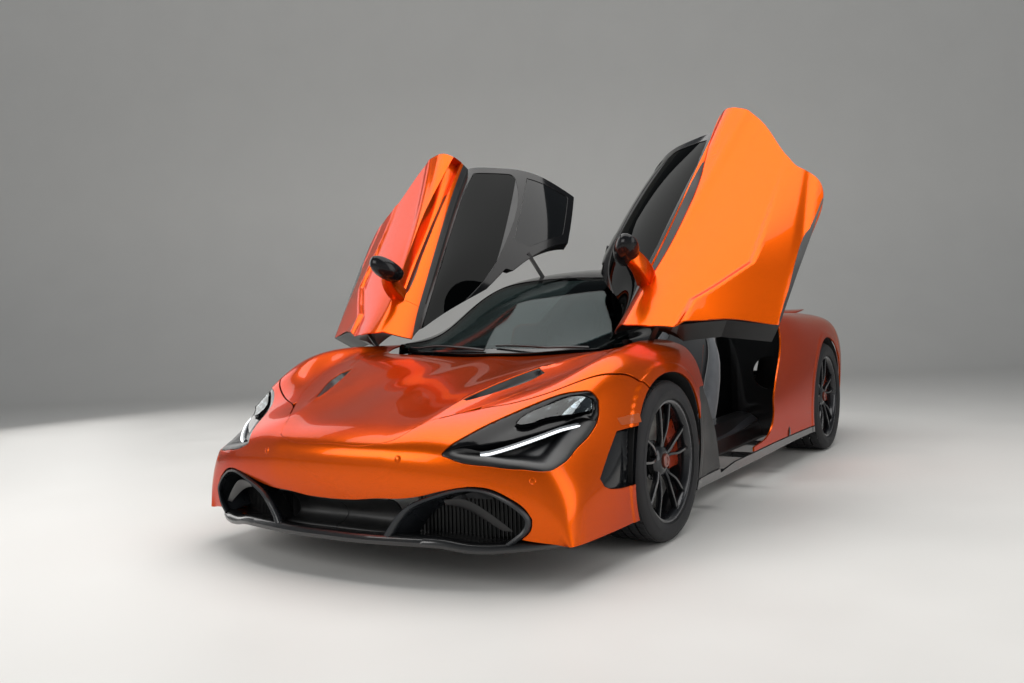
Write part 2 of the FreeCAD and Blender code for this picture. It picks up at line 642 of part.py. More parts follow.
def make_front():
    """Lamps, lower nose, splitter, bay and front structure."""
    shelf = body_skin.layer(PANEL + SEAT_GAP, LAMP_DEPTH).common(
        prism(grown(LAMP, 8), "z", 300, 900))
    hollow = body_skin.layer(-1, LAMP_DEPTH - PANEL).common(prism(grown(LAMP, -4), "z", 300, 900))
    cluster = body_skin.layer(18, LAMP_DEPTH - PANEL / 2).common(prism(LAMP_LENS, "z", 300, 900))
    strip = body_skin.layer(30, LAMP_DEPTH - PANEL / 2).common(prism(LAMP_BLADE, "z", 300, 900))
    keep_pair("headlamps", biggest(shelf.cut(hollow).fuse([cluster, strip])))
    keep("front_intakes", front_intakes())
    flap = box(700, 1000, -1870, -1560, 280, 560).common(body_skin.layer(24, 30))
    rim = grown(SIDE_VENT, 8)
    seat = body_skin.layer(PANEL + SEAT_GAP, 30).common(prism(rim, "x", 700, 1100))
    seat = seat.cut([prism(grown(SIDE_VENT, -6), "x", 690, 1110),
                     prism(grown(LAMP, 10), "z", 200, 900)] + arches(LINER + SEAT_GAP))
    vane = flap.common(prism(grown(SIDE_VENT, -2), "x", 690, 1110)).cut(
        [prism([(-1700, 300), (-1700, 500), (-1560, 500), (-1560, 300)], "x", 690, 1110)]
        + arches(LINER + SEAT_GAP))
    keep_pair("side_intakes", biggest(seat.fuse(vane)))
    floor = prism(both(SPLITTER), "z", SPLITTER_Z, SPLITTER_Z + SPLITTER_WALL, 30)
    keep("splitter", floor)
    keep("front_frame", front_frame())


def front_intakes():
    """The black lower grille with its vanes and two curved struts down to the splitter."""
    top = SPLITTER_Z + SPLITTER_WALL + SEAT_GAP
    line = [(0, -2205), (230, -2200), (430, -2165), (600, -2100), (740, -1990)]
    wall = prism(line + [(x, y + 12) for x, y in line[::-1]], "z", top, 284)
    mouth = [prism([(x, -2400), (x + 150, -2400), (x + 150, -1900), (x, -1900)], "z", top + 22, 262)
             for x in (30, 250, 480)]
    wall = wall.cut(mouth)
    vanes = [prism(line + [(x, y + 60) for x, y in line[::-1]], "z", z, z + 6) for z in (188, 222)]
    strut = prism([(-2262, top), (-2225, top), (-2188, 262), (-2190, 282), (-2212, 282)], "x",
                  232, 262)
    half = wall.fuse(vanes + [strut])
    whole = half.fuse(mirrored(half))
    return biggest(whole.cut(KEPT["front_bumper"]))


def front_frame():
    """Rails, luggage bay, crash boxes, cowl bar with the bonnet's pins, and suspension posts."""
    pin_y = along(BONNET_PIN_Y)
    bay = box(-BAY_X, BAY_X, -1900, -1060, RAIL_LOW - 10, 590).cut(
        box(-BAY_X + BAY_WALL, BAY_X - BAY_WALL, -1894, -1066, RAIL_LOW - 4, 700))
    beam = box(-620, 620, -2120, -2060, 300, 440).common(under_panels)
    crash = [box(s * 290 - 40, s * 290 + 40, -2290, -2060, 385, 425).common(under_panels)
             for s in (-1, 1)]
    cowl = block(-FRONT_WELL_X + 12, FRONT_WELL_X - 12, pin_y + 38, pin_y + 58,
                 RAIL_HIGH - 10, 722)
    carriers, y = [], FRONT_AXLE_Y
    for s in (-1, 1):
        x = s * FRONT_RAIL_X
        carriers.append(block(x - RAIL / 2, x + RAIL / 2, along(-2070), along(TUB_FRONT_Y) - SEAT_GAP,
                              RAIL_LOW, RAIL_HIGH))
        for leg in (-110, 110):
            carriers.append(block(x - 20, x + 20, y + leg - 20, y + leg + 20, 202 + SEAT_GAP, RAIL_LOW))
            carriers.append(block(x - 20, x + 20, y + leg - 20, y + leg + 20, RAIL_HIGH,
                                  452 - SEAT_GAP))
        low, high = sorted((s * (FRONT_WELL_X - 60), s * 905))
        wing = block(low, high, pin_y + 38, pin_y + 58, 700, 735)
        carriers.append(wing.common(under_panels).cut(roof_space))
        foot = box(s * 420 - 20, s * 420 + 20, -1990, -1950, SPLITTER_Z + SPLITTER_WALL + SEAT_GAP,
                   RAIL_LOW)
        carriers.append(foot)
        hinge_x = s * (BAY_X - 10)
        carriers.append(cyl(PIN, V(hinge_x - 30, pin_y, BONNET_PIN_Z), X, 60))
        for e in (-26, 26):
            ear = cyl(11, V(hinge_x + e - 4, pin_y, BONNET_PIN_Z), X, 8)
            arm = block(hinge_x + e - 4, hinge_x + e + 4, pin_y, pin_y + 40, BONNET_PIN_Z - 11,
                        BONNET_PIN_Z + 4)
            carriers += [ear, arm]
    lamp_arms = []
    for s in (-1, 1):
        low, high = sorted((s * 560, s * 640))
        arm = box(low, high, -2110, -1960, 330, 420)
        lamp_arms.append(arm.common(under_panels))
    frame = bay.fuse([beam, cowl] + crash + carriers + lamp_arms)
    lamps = KEPT["headlamps"]
    return biggest(frame.cut([KEPT["front_intakes"], lamps]))


def make_tub():
    """The hollow cell: floor, sills, bulkheads, tunnel, door posts and seats for its neighbours."""
    floor = box(-760, 760, -885, 645, FLOOR_Z, FLOOR_Z + FLOOR_WALL)
    sill = prism([(560, FLOOR_Z), (785, FLOOR_Z), (785, 185), (768, 260), (715, 325),
                  (640, 335), (600, 290), (580, 140)], "y", -885, 645)
    bulkhead = box(-660, 660, 600, 640, FLOOR_Z, 900)
    front = box(-540, 540, TUB_FRONT_Y, -925, FLOOR_Z, 740)
    tunnel = box(-120, 120, -925, 600, FLOOR_Z, 420)
    toe = block(FRONT_WELL_X - 24, FRONT_WELL_X - 6, along(TUB_FRONT_Y), along(-880), FLOOR_Z, 720)
    post = box(524, 690, -883, -855, FLOOR_Z, 860)
    side_panel = box(640, 1000, 532, 548, SILL_Z, 900).common(under_panels)
    side_panel = side_panel.cut([cyl(95, at(830, 500, 560), Y, 100), roof_space])
    wall = box(600, 700, 548, 600, FLOOR_Z, 760)
    parts = [bulkhead.cut(roof_space), front, tunnel]
    brackets = [box(775, 1000, y - 30, y + 30, 152, 172).common(under_panels)
                for y in (-540, 0, 440)]
    pieces = [sill, toe, post.cut(roof_space), piece_at(side_panel, 830, 540, 500), wall] + brackets
    for y in JACK_Y:
        pieces.append(box(JACK_X - JACK_PAD / 2, JACK_X + JACK_PAD / 2, y - JACK_PAD / 2,
                          y + JACK_PAD / 2, FLOOR_Z - 8, FLOOR_Z))
    pieces = [piece.cut(sweeps) for piece in pieces] + [door_pivot()]
    tub = floor.fuse(parts + with_mirror(pieces))
    keep("tub", biggest(tub))


def door_pivot():
    """The pin at the foot of the pillar that a door turns on, with its sleeve and stay."""
    axis = hinge_axis()
    place = HINGE_EYES[1][0]
    pin = cyl(PIN, HINGE_TOP + axis * (place - 60), axis, 76)
    sleeve = cyl(18, HINGE_TOP + axis * (place - 60), axis, 60 - 17)
    stay = bar(HINGE_TOP + axis * (place - 42), V(500, along(-942), 660), 14)
    return pin.fuse([sleeve, stay])


def make_cabin():
    outline = [(-924.7, 560), (-600, 560), (-540, 640), (-560, 730), (-680, 775), (-924.7, 738)]
    dash = prism(outline, "x", -519.7, 519.7, 25)
    keep("dashboard", dash.cut(box(-121, 121, -960, -500, 500, 561)))
    column = bar(at(370, -640, 652), at(370, -452, 705), 32)
    column = column.cut(prism(grown(outline, SEAT_GAP), "x", 200, 520))
    wheel = Part.makeTorus(165, 16, V(0, 0, 0), Z)
    hub = Part.makeCylinder(60, 30, V(0, 0, -15))
    spokes = [Part.makeBox(330, 30, 12, V(-165, -15, -6)), Part.makeBox(30, 165, 12, V(-15, -165, -6))]
    rim = wheel.fuse([hub] + spokes)
    rim.rotate(V(0, 0, 0), X, 106)
    rim.translate(at(370, -440, 708))
    keep("steering_wheel", biggest(rim.fuse(column)))
    core = prism([(-260, 250), (230, 215), (420, 560), (560, 930), (560, 1010), (490, 1010),
                  (430, 900), (250, 420), (180, 350), (-260, 330)], "x", 225, 515, 20)
    bolster = prism([(-240, 230), (230, 200), (430, 560), (500, 760), (360, 760), (170, 430),
                     (-200, 390)], "x", 165, 225, 20)
    other = bolster.copy()
    other.translate(V(across(515) - across(165), 0, 0))
    base = box(250, 490, -200, 200, FLOOR_Z + FLOOR_WALL + SEAT_GAP, 240)
    keep_pair("seats", core.fuse([bolster, other, base]))


def make_running_gear():
    for name, w in (("front", FRONT_WHEEL), ("rear", REAR_WHEEL)):
        x, y, r, half, lip = w["x"], w["y"], w["radius"], w["width"] / 2, w["lip"]
        tyre = spin_profile([(-half + 12, lip - 6), (-half, lip + 25), (-half + 8, r - 14),
                             (-half + 30, r), (half - 30, r), (half - 8, r - 14),
                             (half, lip + 25), (half - 18, lip - 6)])
        barrel = spin_profile([(-half + 14, lip - 22), (-half + 14, lip - 6.3),
                               (half - 18, lip - 6.3), (half - 18, lip - 16),
                               (half - 34, lip - 22)])
        hub = cyl(70, V(half - 87, 0, 0), X, 42)
        spokes = []
        for k in range(5):
            for lean in (-1, 1):
                spoke = prism([(50, -9), (lip - 20, -7), (lip - 20, 7), (50, 9)], "x", 0, 24)
                spoke.rotate(V(0, 0, 0), X, 72 * k + lean * 13)
                spoke.translate(V(half - 58, 0, 0))
                spokes.append(spoke)
        disc = cyl(lip - 52, V(half - 125, 0, 0), X, 32).fuse(cyl(70, V(half - 125, 0, 0), X, 37.7))
        bore = cyl(SPINDLE + SEAT_GAP, V(-half - 50, 0, 0), X, half * 2)
        disc = disc.cut(bore)
        rim = barrel.fuse([hub] + spokes).cut(bore)
        for piece, shape in (("tyre", tyre), ("rim", rim), ("disc", disc)):
            shape.translate(V(x, y, r))
            keep_sides(piece + "_" + name, upright(shape))
        inner = half - 125
        section = spin_profile([(inner - 49.7, lip - 120), (inner - 49.7, lip - 28),
                                (inner + 55, lip - 28), (inner + 55, lip - 120),
                                (inner + 37, lip - 120), (inner + 37, lip - 47),
                                (inner - 5, lip - 47), (inner - 5, lip - 120)])
        wedge = Part.Face(Part.makePolygon([V(-300, -60, 0), V(-300, 60, 0), V(-300, 150, 420),
                                            V(-300, -150, 420), V(-300, -60, 0)])).extrude(X * 600)
        wedge.rotate(V(0, 0, 0), X, -75)
        caliper = section.common(wedge)
        caliper.translate(V(x, y, r))
        spindle = cyl(SPINDLE, V(x + inner - 52, y, r), X, 52 + 75)
        back, face = x + inner - 75, x + inner - 50
        carrier = block(back, face, y - 45, y + 45, r - 125, r + 125)
        arm = block(back, face, y, y + lip - 60, r - 15, r + 80)
        carrier = carrier.fuse([spindle, arm])
        if name == "front":
            keep_sides("caliper_front", upright(caliper))
            keep_sides("knuckle", carrier.fuse(kingpins(face)))
        else:
            keep_pair("rear_calipers", upright(caliper))
            keep_pair("rear_uprights", carrier)
    front_arms = [wishbone(KINGPIN_X, FRONT_AXLE_Y, FRONT_RAIL_X, z, BALL_PIN + SEAT_GAP)
                  for z in (ARM_LOW, ARM_HIGH)]
    keep_pair("front_wishbones", *front_arms)
    touch = REAR_WHEEL["x"] + REAR_WHEEL["width"] / 2 - 200 - SEAT_GAP
    rear_arms = [wishbone(touch - 10, REAR_AXLE_Y, REAR_RAIL_X, z, 0) for z in (ARM_LOW, ARM_HIGH)]
    rear_arms = [arm.cut(block(touch, touch + 60, REAR_AXLE_Y - 80, REAR_AXLE_Y + 80, 0, 600))
                 for arm in rear_arms]
    keep_pair("rear_wishbones", *rear_arms)


def kingpins(face):
    """Upper and lower lugs of a front knuckle, with the pins that the wishbones turn on."""
    parts = []
    for z0, z1, p0, p1 in ((427, 447, 447, ARM_HIGH + ARM_WALL),
                           (207, 227, ARM_LOW, 207)):
        parts.append(block(face - 10, KINGPIN_X + 14, FRONT_AXLE_Y - 14, FRONT_AXLE_Y + 14, z0, z1))
        parts.append(cyl(BALL_PIN, V(KINGPIN_X, FRONT_AXLE_Y, p0), Z, p1 - p0))
    return parts


def wishbone(x, y, rail_x, z, bore):
    """A flat arm with a ring at the wheel and two legs to the frame's posts."""
    ring = cyl(18, V(x, y, z), Z, ARM_WALL)
    legs = []
    for lean in (-1, 1):
        corners = [V(x - 4, y - 12, z), V(x - 4, y + 12, z),
                   V(rail_x - 18, y + lean * 110 + 14, z), V(rail_x - 18, y + lean * 110 - 14, z)]
        legs.append(Part.Face(Part.makePolygon(corners + corners[:1])).extrude(Z * ARM_WALL))
    arm = ring.fuse(legs)
    return arm.cut(cyl(bore, V(x, y, z - 10), Z, 60)) if bore else arm


def make_rear():
    """Engine, rear frame, bumper, lamps, diffuser, wing and exhausts."""
    engine = box(-290, 290, 700, 1240, 190, 640)
    gearbox = box(-170, 170, 1240, 1800, 210, 480)
    keep("engine", engine.fuse(gearbox))
    parts = [box(-460, 460, 2030, 2070, RAIL_LOW, 470)]
    band = [(0, 2128), (400, 2112), (700, 2068), (850, 2020), (850, 2005), (700, 2053),
            (400, 2097), (0, 2113)]
    y = REAR_AXLE_Y
    for s in (-1, 1):
        x = s * REAR_RAIL_X
        parts.append(block(x - RAIL / 2, x + RAIL / 2, along(640) + SEAT_GAP, along(2070), RAIL_LOW,
                           RAIL_HIGH))
        low, high = sorted((s * 290.3, s * (REAR_RAIL_X)))
        parts.append(block(low, high, along(960), along(1010), RAIL_LOW, RAIL_HIGH))
        for leg in (-110, 110):
            parts.append(block(x - 20, x + 20, y + leg - 20, y + leg + 20,
                               ARM_LOW + ARM_WALL + SEAT_GAP, RAIL_LOW))
            parts.append(block(x - 20, x + 20, y + leg - 20, y + leg + 20, RAIL_HIGH,
                               ARM_HIGH - SEAT_GAP))
        parts.append(block(x - 20, x + 20, along(1980), along(2010), 205 + SEAT_GAP, RAIL_LOW))
        tip = block(x - 20, x + 20, along(2070), along(2150), 350, 420)
        rim = grown(band, SEAT_GAP)
        fascia = prism(rim, "z", 300, 900)
        parts.append(piece_at(tip.cut(fascia if s > 0 else mirrored(fascia)), s * 430, 2080, 385))
    keep("rear_frame", parts[0].fuse(parts[1:]))
    half = prism(band, "z", 320, 850)
    grille = [prism([(60, z), (560, z), (560, z + 34), (60, z + 34)], "y", 1900, 2300)
              for z in (690, 740, 790)]
    tail = prism([(240, 400), (640, 400), (700, 460), (700, 540), (240, 540)], "y", 1900, 2300)
    fascia = half.fuse(mirrored(half)).common(under_panels)
    fascia = fascia.cut([cyl(60, at(s * 150, 1900, 640), Y, 400) for s in (-1, 1)]
                        + with_mirror(grille + [tail]))
    keep("rear_bumper", biggest(fascia))
    lamp = prism([(400, 2112 + SEAT_GAP), (700, 2068 + SEAT_GAP), (842, 2023 + SEAT_GAP), (842, 2034),
                  (700, 2082), (400, 2126)], "z", 690, 716).common(under_panels)
    keep_pair("tail_lamps", biggest(lamp))
    plate = prism([(0, 1800), (700, 1800), (720, 2040), (560, 2200), (300, 2267), (0, 2271.5)],
                  "z", 190, 205)
    fins = [box(x - 4, x + 4, 1850, 2230, 135, 190) for x in (-450, -270, -90, 90, 270, 450)]
    keep("diffuser", plate.fuse([mirrored(plate)] + fins))
    wing = prism([(1945, 886), (1962, 896), (2120, 909), (2271.5, 919), (2271.5, 913), (2120, 897),
                  (1960, 882), (1946, 880)], "x", -600, 600)
    slots = []
    for s in (-1, 1):
        x, pin_y = across(s * 350), along(WING_PIN_Y)
        slots.append(block(x - 14, x + 14, pin_y - 22, pin_y + 32, 850, 905))
        slots.append(cyl(PIN / 2 + SEAT_GAP, V(x - 35, pin_y, WING_PIN_Z), X, 70))
    keep("rear_wing", wing.cut(slots))
    pipes = []
    for s in (-1, 1):
        pipe = cyl(55, at(s * 150, 1740, 640), Y, along(2150) - along(1740))
        leg = box(s * 150 - 12, s * 150 + 12, 1750, 1780, 480 + SEAT_GAP, 600)
        pipes.append(pipe.fuse(leg).cut(cyl(50, at(s * 150, 1765, 640), Y, 500)))
    keep("exhausts", Part.Compound(pipes))


def make_liners():
    """Thin arch liners that end against the panels, open where the suspension passes."""
    parts = []
    for w, radius, inner in ((FRONT_WHEEL, FRONT_ARCH, FRONT_WELL_X),
                             (REAR_WHEEL, REAR_ARCH, REAR_WELL_X)):
        centre = V(inner, w["y"], w["radius"])
        shell = cyl(radius + LINER, centre - X * LINER, X, WIDTH)
        shell = shell.cut([cyl(radius, centre, X, WIDTH),
                           Part.makeBox(WIDTH, LENGTH, 600, V(0, w["y"] - LENGTH / 2, w["radius"] - 660)),
                           block(inner - 20, inner + 20, w["y"] - 150, w["y"] + 150, 150, 490)])
        parts.append(biggest(shell.common(under_panels)))
    keep_pair("arch_liners", *parts)


make_panels()
make_house()
make_doors()
make_front()
make_tub()
make_cabin()
make_running_gear()
make_rear()
make_liners()

os.makedirs("parts", exist_ok=True)
for name, shape in KEPT.items():
    if not shape.isValid():
        print("not valid:", name)
    print(name, len(shape.Solids), round(shape.Volume / 1e6, 2))
    shape.exportStep("parts/" + name + ".step")
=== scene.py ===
"""The looks of a supercar with raised doors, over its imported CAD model.

Frame in metres: +X is the car's left side, the nose points along -Y and +Z is up.
Tables and outlines are in millimetres, as in the part's source.
"""

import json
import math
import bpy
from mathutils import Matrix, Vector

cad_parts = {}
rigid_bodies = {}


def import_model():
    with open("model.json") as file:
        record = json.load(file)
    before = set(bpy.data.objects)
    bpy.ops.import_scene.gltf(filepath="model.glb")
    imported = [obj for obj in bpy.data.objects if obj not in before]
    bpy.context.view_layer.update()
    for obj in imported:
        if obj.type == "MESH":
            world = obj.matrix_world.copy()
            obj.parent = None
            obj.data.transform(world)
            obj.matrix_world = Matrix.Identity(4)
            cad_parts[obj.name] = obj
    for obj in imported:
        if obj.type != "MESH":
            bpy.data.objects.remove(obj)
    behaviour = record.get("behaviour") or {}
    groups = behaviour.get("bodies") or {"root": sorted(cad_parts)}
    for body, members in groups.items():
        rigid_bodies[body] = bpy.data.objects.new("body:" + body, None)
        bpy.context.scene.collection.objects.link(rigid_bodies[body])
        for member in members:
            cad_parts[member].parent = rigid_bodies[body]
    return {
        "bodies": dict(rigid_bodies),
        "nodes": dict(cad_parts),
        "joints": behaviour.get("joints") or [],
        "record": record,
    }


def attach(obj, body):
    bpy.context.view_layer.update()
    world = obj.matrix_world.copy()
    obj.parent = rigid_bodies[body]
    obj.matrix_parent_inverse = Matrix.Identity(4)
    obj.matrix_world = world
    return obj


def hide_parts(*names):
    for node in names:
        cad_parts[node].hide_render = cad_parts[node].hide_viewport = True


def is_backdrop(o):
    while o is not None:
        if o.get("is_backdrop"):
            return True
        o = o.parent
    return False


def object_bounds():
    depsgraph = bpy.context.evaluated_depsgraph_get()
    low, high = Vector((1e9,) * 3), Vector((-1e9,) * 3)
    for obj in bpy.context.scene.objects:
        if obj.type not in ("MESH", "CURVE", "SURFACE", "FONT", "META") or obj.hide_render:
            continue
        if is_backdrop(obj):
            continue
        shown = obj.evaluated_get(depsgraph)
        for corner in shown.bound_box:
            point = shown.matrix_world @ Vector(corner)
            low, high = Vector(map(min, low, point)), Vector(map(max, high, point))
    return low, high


bl_info = {
    "name": "Supercar with Raised Doors",
    "version": (1, 0, 0),
    "blender": (4, 5, 0),
    "location": "View3D > Sidebar > Supercar",
    "description": "Dresses the packed model of a mid-engine coupe with raised doors",
    "category": "Object",
}

import bmesh
import bpy
import numpy as np
from bpy.props import FloatProperty, IntProperty, PointerProperty
from mathutils import Matrix, Vector
from mathutils.geometry import tessellate_polygon

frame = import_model()
cad_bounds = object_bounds()

# Body sections. Each row: name, y on the centre plane, sweep back of the flank, and (x, z) of the
# columns centre, mid, ridge, fold, peak, shoulder, flank, waist and sill.
BODY = [
    ("lip", -2235, 235, [(0, 285), (230, 285), (400, 292), (560, 268), (700, 190),
                         (785, 165), (835, 158), (865, 152), (885, 148)]),
    ("nose", -2262, 250, [(0, 392), (230, 392), (370, 390), (560, 380), (715, 355),
                          (805, 322), (860, 270), (890, 205), (905, 150)]),
    ("brow", -2250, 275, [(0, 475), (220, 475), (340, 474), (540, 462), (725, 434),
                          (820, 400), (880, 330), (910, 235), (918, 150)]),
    ("crown", -2180, 265, [(0, 532), (210, 530), (320, 534), (470, 528), (730, 496),
                           (830, 450), (893, 368), (922, 262), (926, 150)]),
    ("lamp", -2000, 200, [(0, 588), (210, 586), (355, 600), (450, 594), (725, 590),
                          (835, 548), (908, 425), (938, 290), (935, 150)]),
    ("fore", -1750, 110, [(0, 650), (220, 648), (415, 668), (585, 664), (745, 706),
                          (850, 668), (930, 520), (954, 330), (942, 150)]),
    ("arch", -1500, 30, [(0, 698), (220, 696), (510, 730), (690, 724), (790, 778),
                         (872, 742), (944, 620), (960, 400), (945, 150)]),
    ("axle", -1262, 0, [(0, 735), (220, 735), (590, 770), (730, 778), (805, 810),
                        (880, 775), (952, 695), (964, 440), (945, 150)]),
    ("scuttle", -1020, 0, [(0, 762), (240, 760), (560, 772), (690, 792), (765, 812),
                           (865, 785), (945, 708), (955, 440), (935, 150)]),
    ("pillar", -750, 0, [(0, 800), (250, 800), (480, 790), (620, 802), (730, 812),
                         (842, 790), (914, 700), (940, 430), (925, 145)]),
    ("door", -300, 0, [(0, 815), (250, 815), (470, 815), (600, 825), (720, 834),
                       (835, 806), (892, 675), (932, 430), (925, 145)]),
    ("waist", 200, 0, [(0, 830), (250, 830), (470, 830), (600, 838), (722, 862),
                       (848, 846), (894, 700), (931, 430), (925, 145)]),
    ("intake", 650, 0, [(0, 845), (250, 845), (470, 852), (610, 862), (740, 892),
                        (880, 880), (928, 740), (950, 450), (930, 150)]),
    ("haunch", 1050, 0, [(0, 850), (250, 850), (470, 855), (615, 872), (750, 900),
                         (882, 868), (950, 740), (963, 460), (945, 155)]),
    ("rear", 1408, 0, [(0, 852), (250, 852), (460, 856), (610, 876), (740, 897),
                       (875, 857), (954, 745), (964, 470), (948, 165)]),
    ("deck", 1750, -20, [(0, 855), (250, 855), (450, 858), (590, 872), (710, 887),
                         (860, 850), (940, 745), (957, 490), (930, 200)]),
    ("ducktail", 2000, -60, [(0, 862), (240, 862), (430, 864), (560, 868), (670, 874),
                             (815, 842), (900, 745), (925, 510), (900, 250)]),
    ("tail", 2180, -110, [(0, 868), (230, 868), (410, 868), (530, 866), (625, 862),
                          (760, 825), (842, 730), (872, 530), (862, 300)]),
]
BODY_HALF = 950.0

# Glasshouse sections, with the columns ridge, mid, rail, glass, base and root.
HOUSE = [
    ("cowl", -1100, 120, [(0, 768), (220, 768), (420, 778), (560, 790), (670, 802), (680, 765)]),
    ("screen", -800, 70, [(0, 940), (220, 935), (430, 905), (575, 860), (700, 812), (712, 775)]),
    ("brow", -450, 25, [(0, 1122), (220, 1114), (445, 1068), (620, 950), (710, 828), (722, 790)]),
    ("header", -100, 0, [(0, 1184), (220, 1174), (445, 1120), (622, 985), (716, 838), (728, 800)]),
    ("roof", 250, 0, [(0, 1196), (220, 1185), (430, 1130), (605, 1000), (718, 852), (730, 812)]),
    ("hoop", 600, 0, [(0, 1172), (220, 1160), (410, 1112), (580, 990), (700, 868), (712, 828)]),
    ("glass", 1000, 0, [(0, 1115), (220, 1100), (390, 1050), (530, 955), (650, 878), (662, 840)]),
    ("fast", 1400, 0, [(0, 1030), (200, 1020), (350, 980), (470, 920), (580, 872), (592, 835)]),
    ("end", 1750, 0, [(0, 930), (180, 925), (310, 905), (410, 882), (500, 866), (512, 830)]),
]
HOUSE_HALF = 660.0

# Outlines on the left side. Seen from above as (x, y):
BONNET = [(0, -2240), (140, -2238), (225, -2224), (290, -2195), (338, -2108), (450, -1958),
          (528, -1845), (589, -1733), (655, -1605), (697, -1490), (706, -1400), (690, -1335),
          (650, -1235), (600, -1120), (470, -1092), (0, -1098)]
FENDER_SEAM = [(380, -2050), (466, -1948), (605, -1862), (765, -1735), (858, -1590), (897, -1514),
               (1010, -1370)]
LAMP = [(480, -2190), (522, -2120), (583, -1992), (644, -1896), (723, -1812), (797, -1757),
        (838, -1717), (861, -1713), (876, -1747), (875, -1812), (862, -1896), (851, -1977),
        (827, -2040), (745, -2098), (641, -2146), (559, -2175)]
LAMP_LENS = [(654, -1975), (668, -1916), (736, -1835), (812, -1759), (849, -1730), (858, -1763),
             (809, -1852), (741, -1913), (687, -1970)]
BONNET_VENT = [(371, -1893), (386, -1826), (435, -1683), (503, -1530), (548, -1560), (523, -1662),
               (458, -1782), (393, -1892)]
HOUSE_FOOT = [(0, -1104), (470, -1100), (604, -1124), (650, -1090), (680, -1045), (722, -800),
              (735, -450), (742, -100), (744, 250), (728, 600), (676, 1000), (606, 1400),
              (526, 1765), (0, 1765)]
DECK = [(640, 1180), (600, 1400), (620, 1800), (650, 1925), (0, 1925)]
REAR_SEAM = [(600, 1905), (730, 1955), (990, 1700)]
SCREEN = [(0, -1062), (440, -1040), (618, -1000), (640, -950), (528, -720), (425, -450),
          (385, -400), (0, -400)]
SIDE_GLASS = [(682, -860), (603, -700), (508, -440), (480, -300), (478, 400), (505, 445),
              (676, 445), (698, 250), (702, -300), (694, -780)]
ROOF_GLASS = [(150, 90), (330, -120), (425, -120), (422, 430), (150, 430)]
DOOR_TOP = [(720, -1010), (668, -925), (575, -720), (470, -450), (425, -330), (105, -330),
            (105, 470), (480, 500), (800, 505), (800, -1010)]
REAR_SCREEN = [(0, 640), (330, 640), (380, 700), (330, 1100), (270, 1500), (230, 1690), (0, 1690)]
QUARTER_GLASS = [(470, 640), (655, 640), (610, 860), (540, 1010), (440, 1010), (452, 800)]
# Seen from the side as (y, z):
DOOR_SIDE = [(-900, 905), (-930, 790), (-985, 715), (-960, 672), (-887, 607), (-809, 554),
             (-745, 470), (-684, 385), (-600, 180), (-313, 208), (-119, 224), (130, 248),
             (215, 290), (252, 350), (262, 430), (310, 500), (470, 690), (505, 790), (500, 905)]
SIDE_VENT = [(-1500, 514), (-1694, 502), (-1852, 352), (-1835, 322), (-1790, 306), (-1500, 296)]
# Seen from the front as (x, z):
PAINTED_MOUTH = [(-9, 90), (-9, 287), (120, 291), (220, 302), (320, 306), (400, 318), (470, 336),
                 (550, 353), (600, 358), (655, 351), (715, 321), (762, 285), (785, 246),
                 (776, 206), (745, 176), (712, 150), (712, 90)]
# Edges of the channel under the side window, seen from above as (x, y): blade and strip
BELT_BLADE = [(866, -660), (868, -640), (870, -450), (867, -200), (858, 100), (838, 350), (812, 560)]
BELT_STRIP = [(840, -660), (840, -640), (818, -560), (808, -300), (796, 0), (775, 300), (757, 560)]
# Creases in the flank, seen from the side as (y, z): over the door, and above the sill
DOOR_CREASE = [(1200, 560), (600, 532), (370, 500), (0, 452), (-362, 409), (-560, 500),
               (-666, 556), (-819, 556), (-1200, 560)]
SILL_CREASE = [(700, 470), (334, 378), (-183, 242), (-594, 152), (-900, 70)]
# Ridge along the bonnet's side, seen from above as (x, y)
RIDGE_LINE = [(355, -2010), (376, -1888), (414, -1747), (454, -1640), (503, -1522), (548, -1470),
              (578, -1394), (647, -1271), (690, -1100), (735, -900)]
# The left door's hinge line, from the roof down to the foot of the screen pillar
HINGE_TOP = np.array([177.0, -270.0, 1132.0])
HINGE_FOOT = np.array([687.0, -1003.0, 638.0])
LAMP_SHELF = [(480, -2190), (560, -2120), (630, -2068), (720, -1985), (800, -1890), (850, -1800),
              (880, -1760)]
DOOR_OPEN = 74.0
# Profile (along the hinge line, away from it). Turned about the line, it parts door and body.
DOOR_SHIELD = [(-300, 0), (-300, 150), (850, 150), (966, 258), (1048, 283), (1190, 524),
               (1270, 660), (1270, 0)]
FRONT_AXLE_Y, REAR_AXLE_Y = -1262.0, 1408.0
FRONT_AXLE_Z, REAR_AXLE_Z = 327.0, 345.5
FRONT_ARCH, REAR_ARCH = 363.0, 385.0
SILL_Z = 196.0
SHUT_GAP = 5.0
# Heights under which an outline seen from above no longer cuts, and where the belt channel starts
NOSE_FLOOR, DECK_FLOOR, BELT_FLOOR, BELT_START = 420, 560, 640, -640
# The doors' skins end this far from the middle of the car
DOOR_INNER = 640


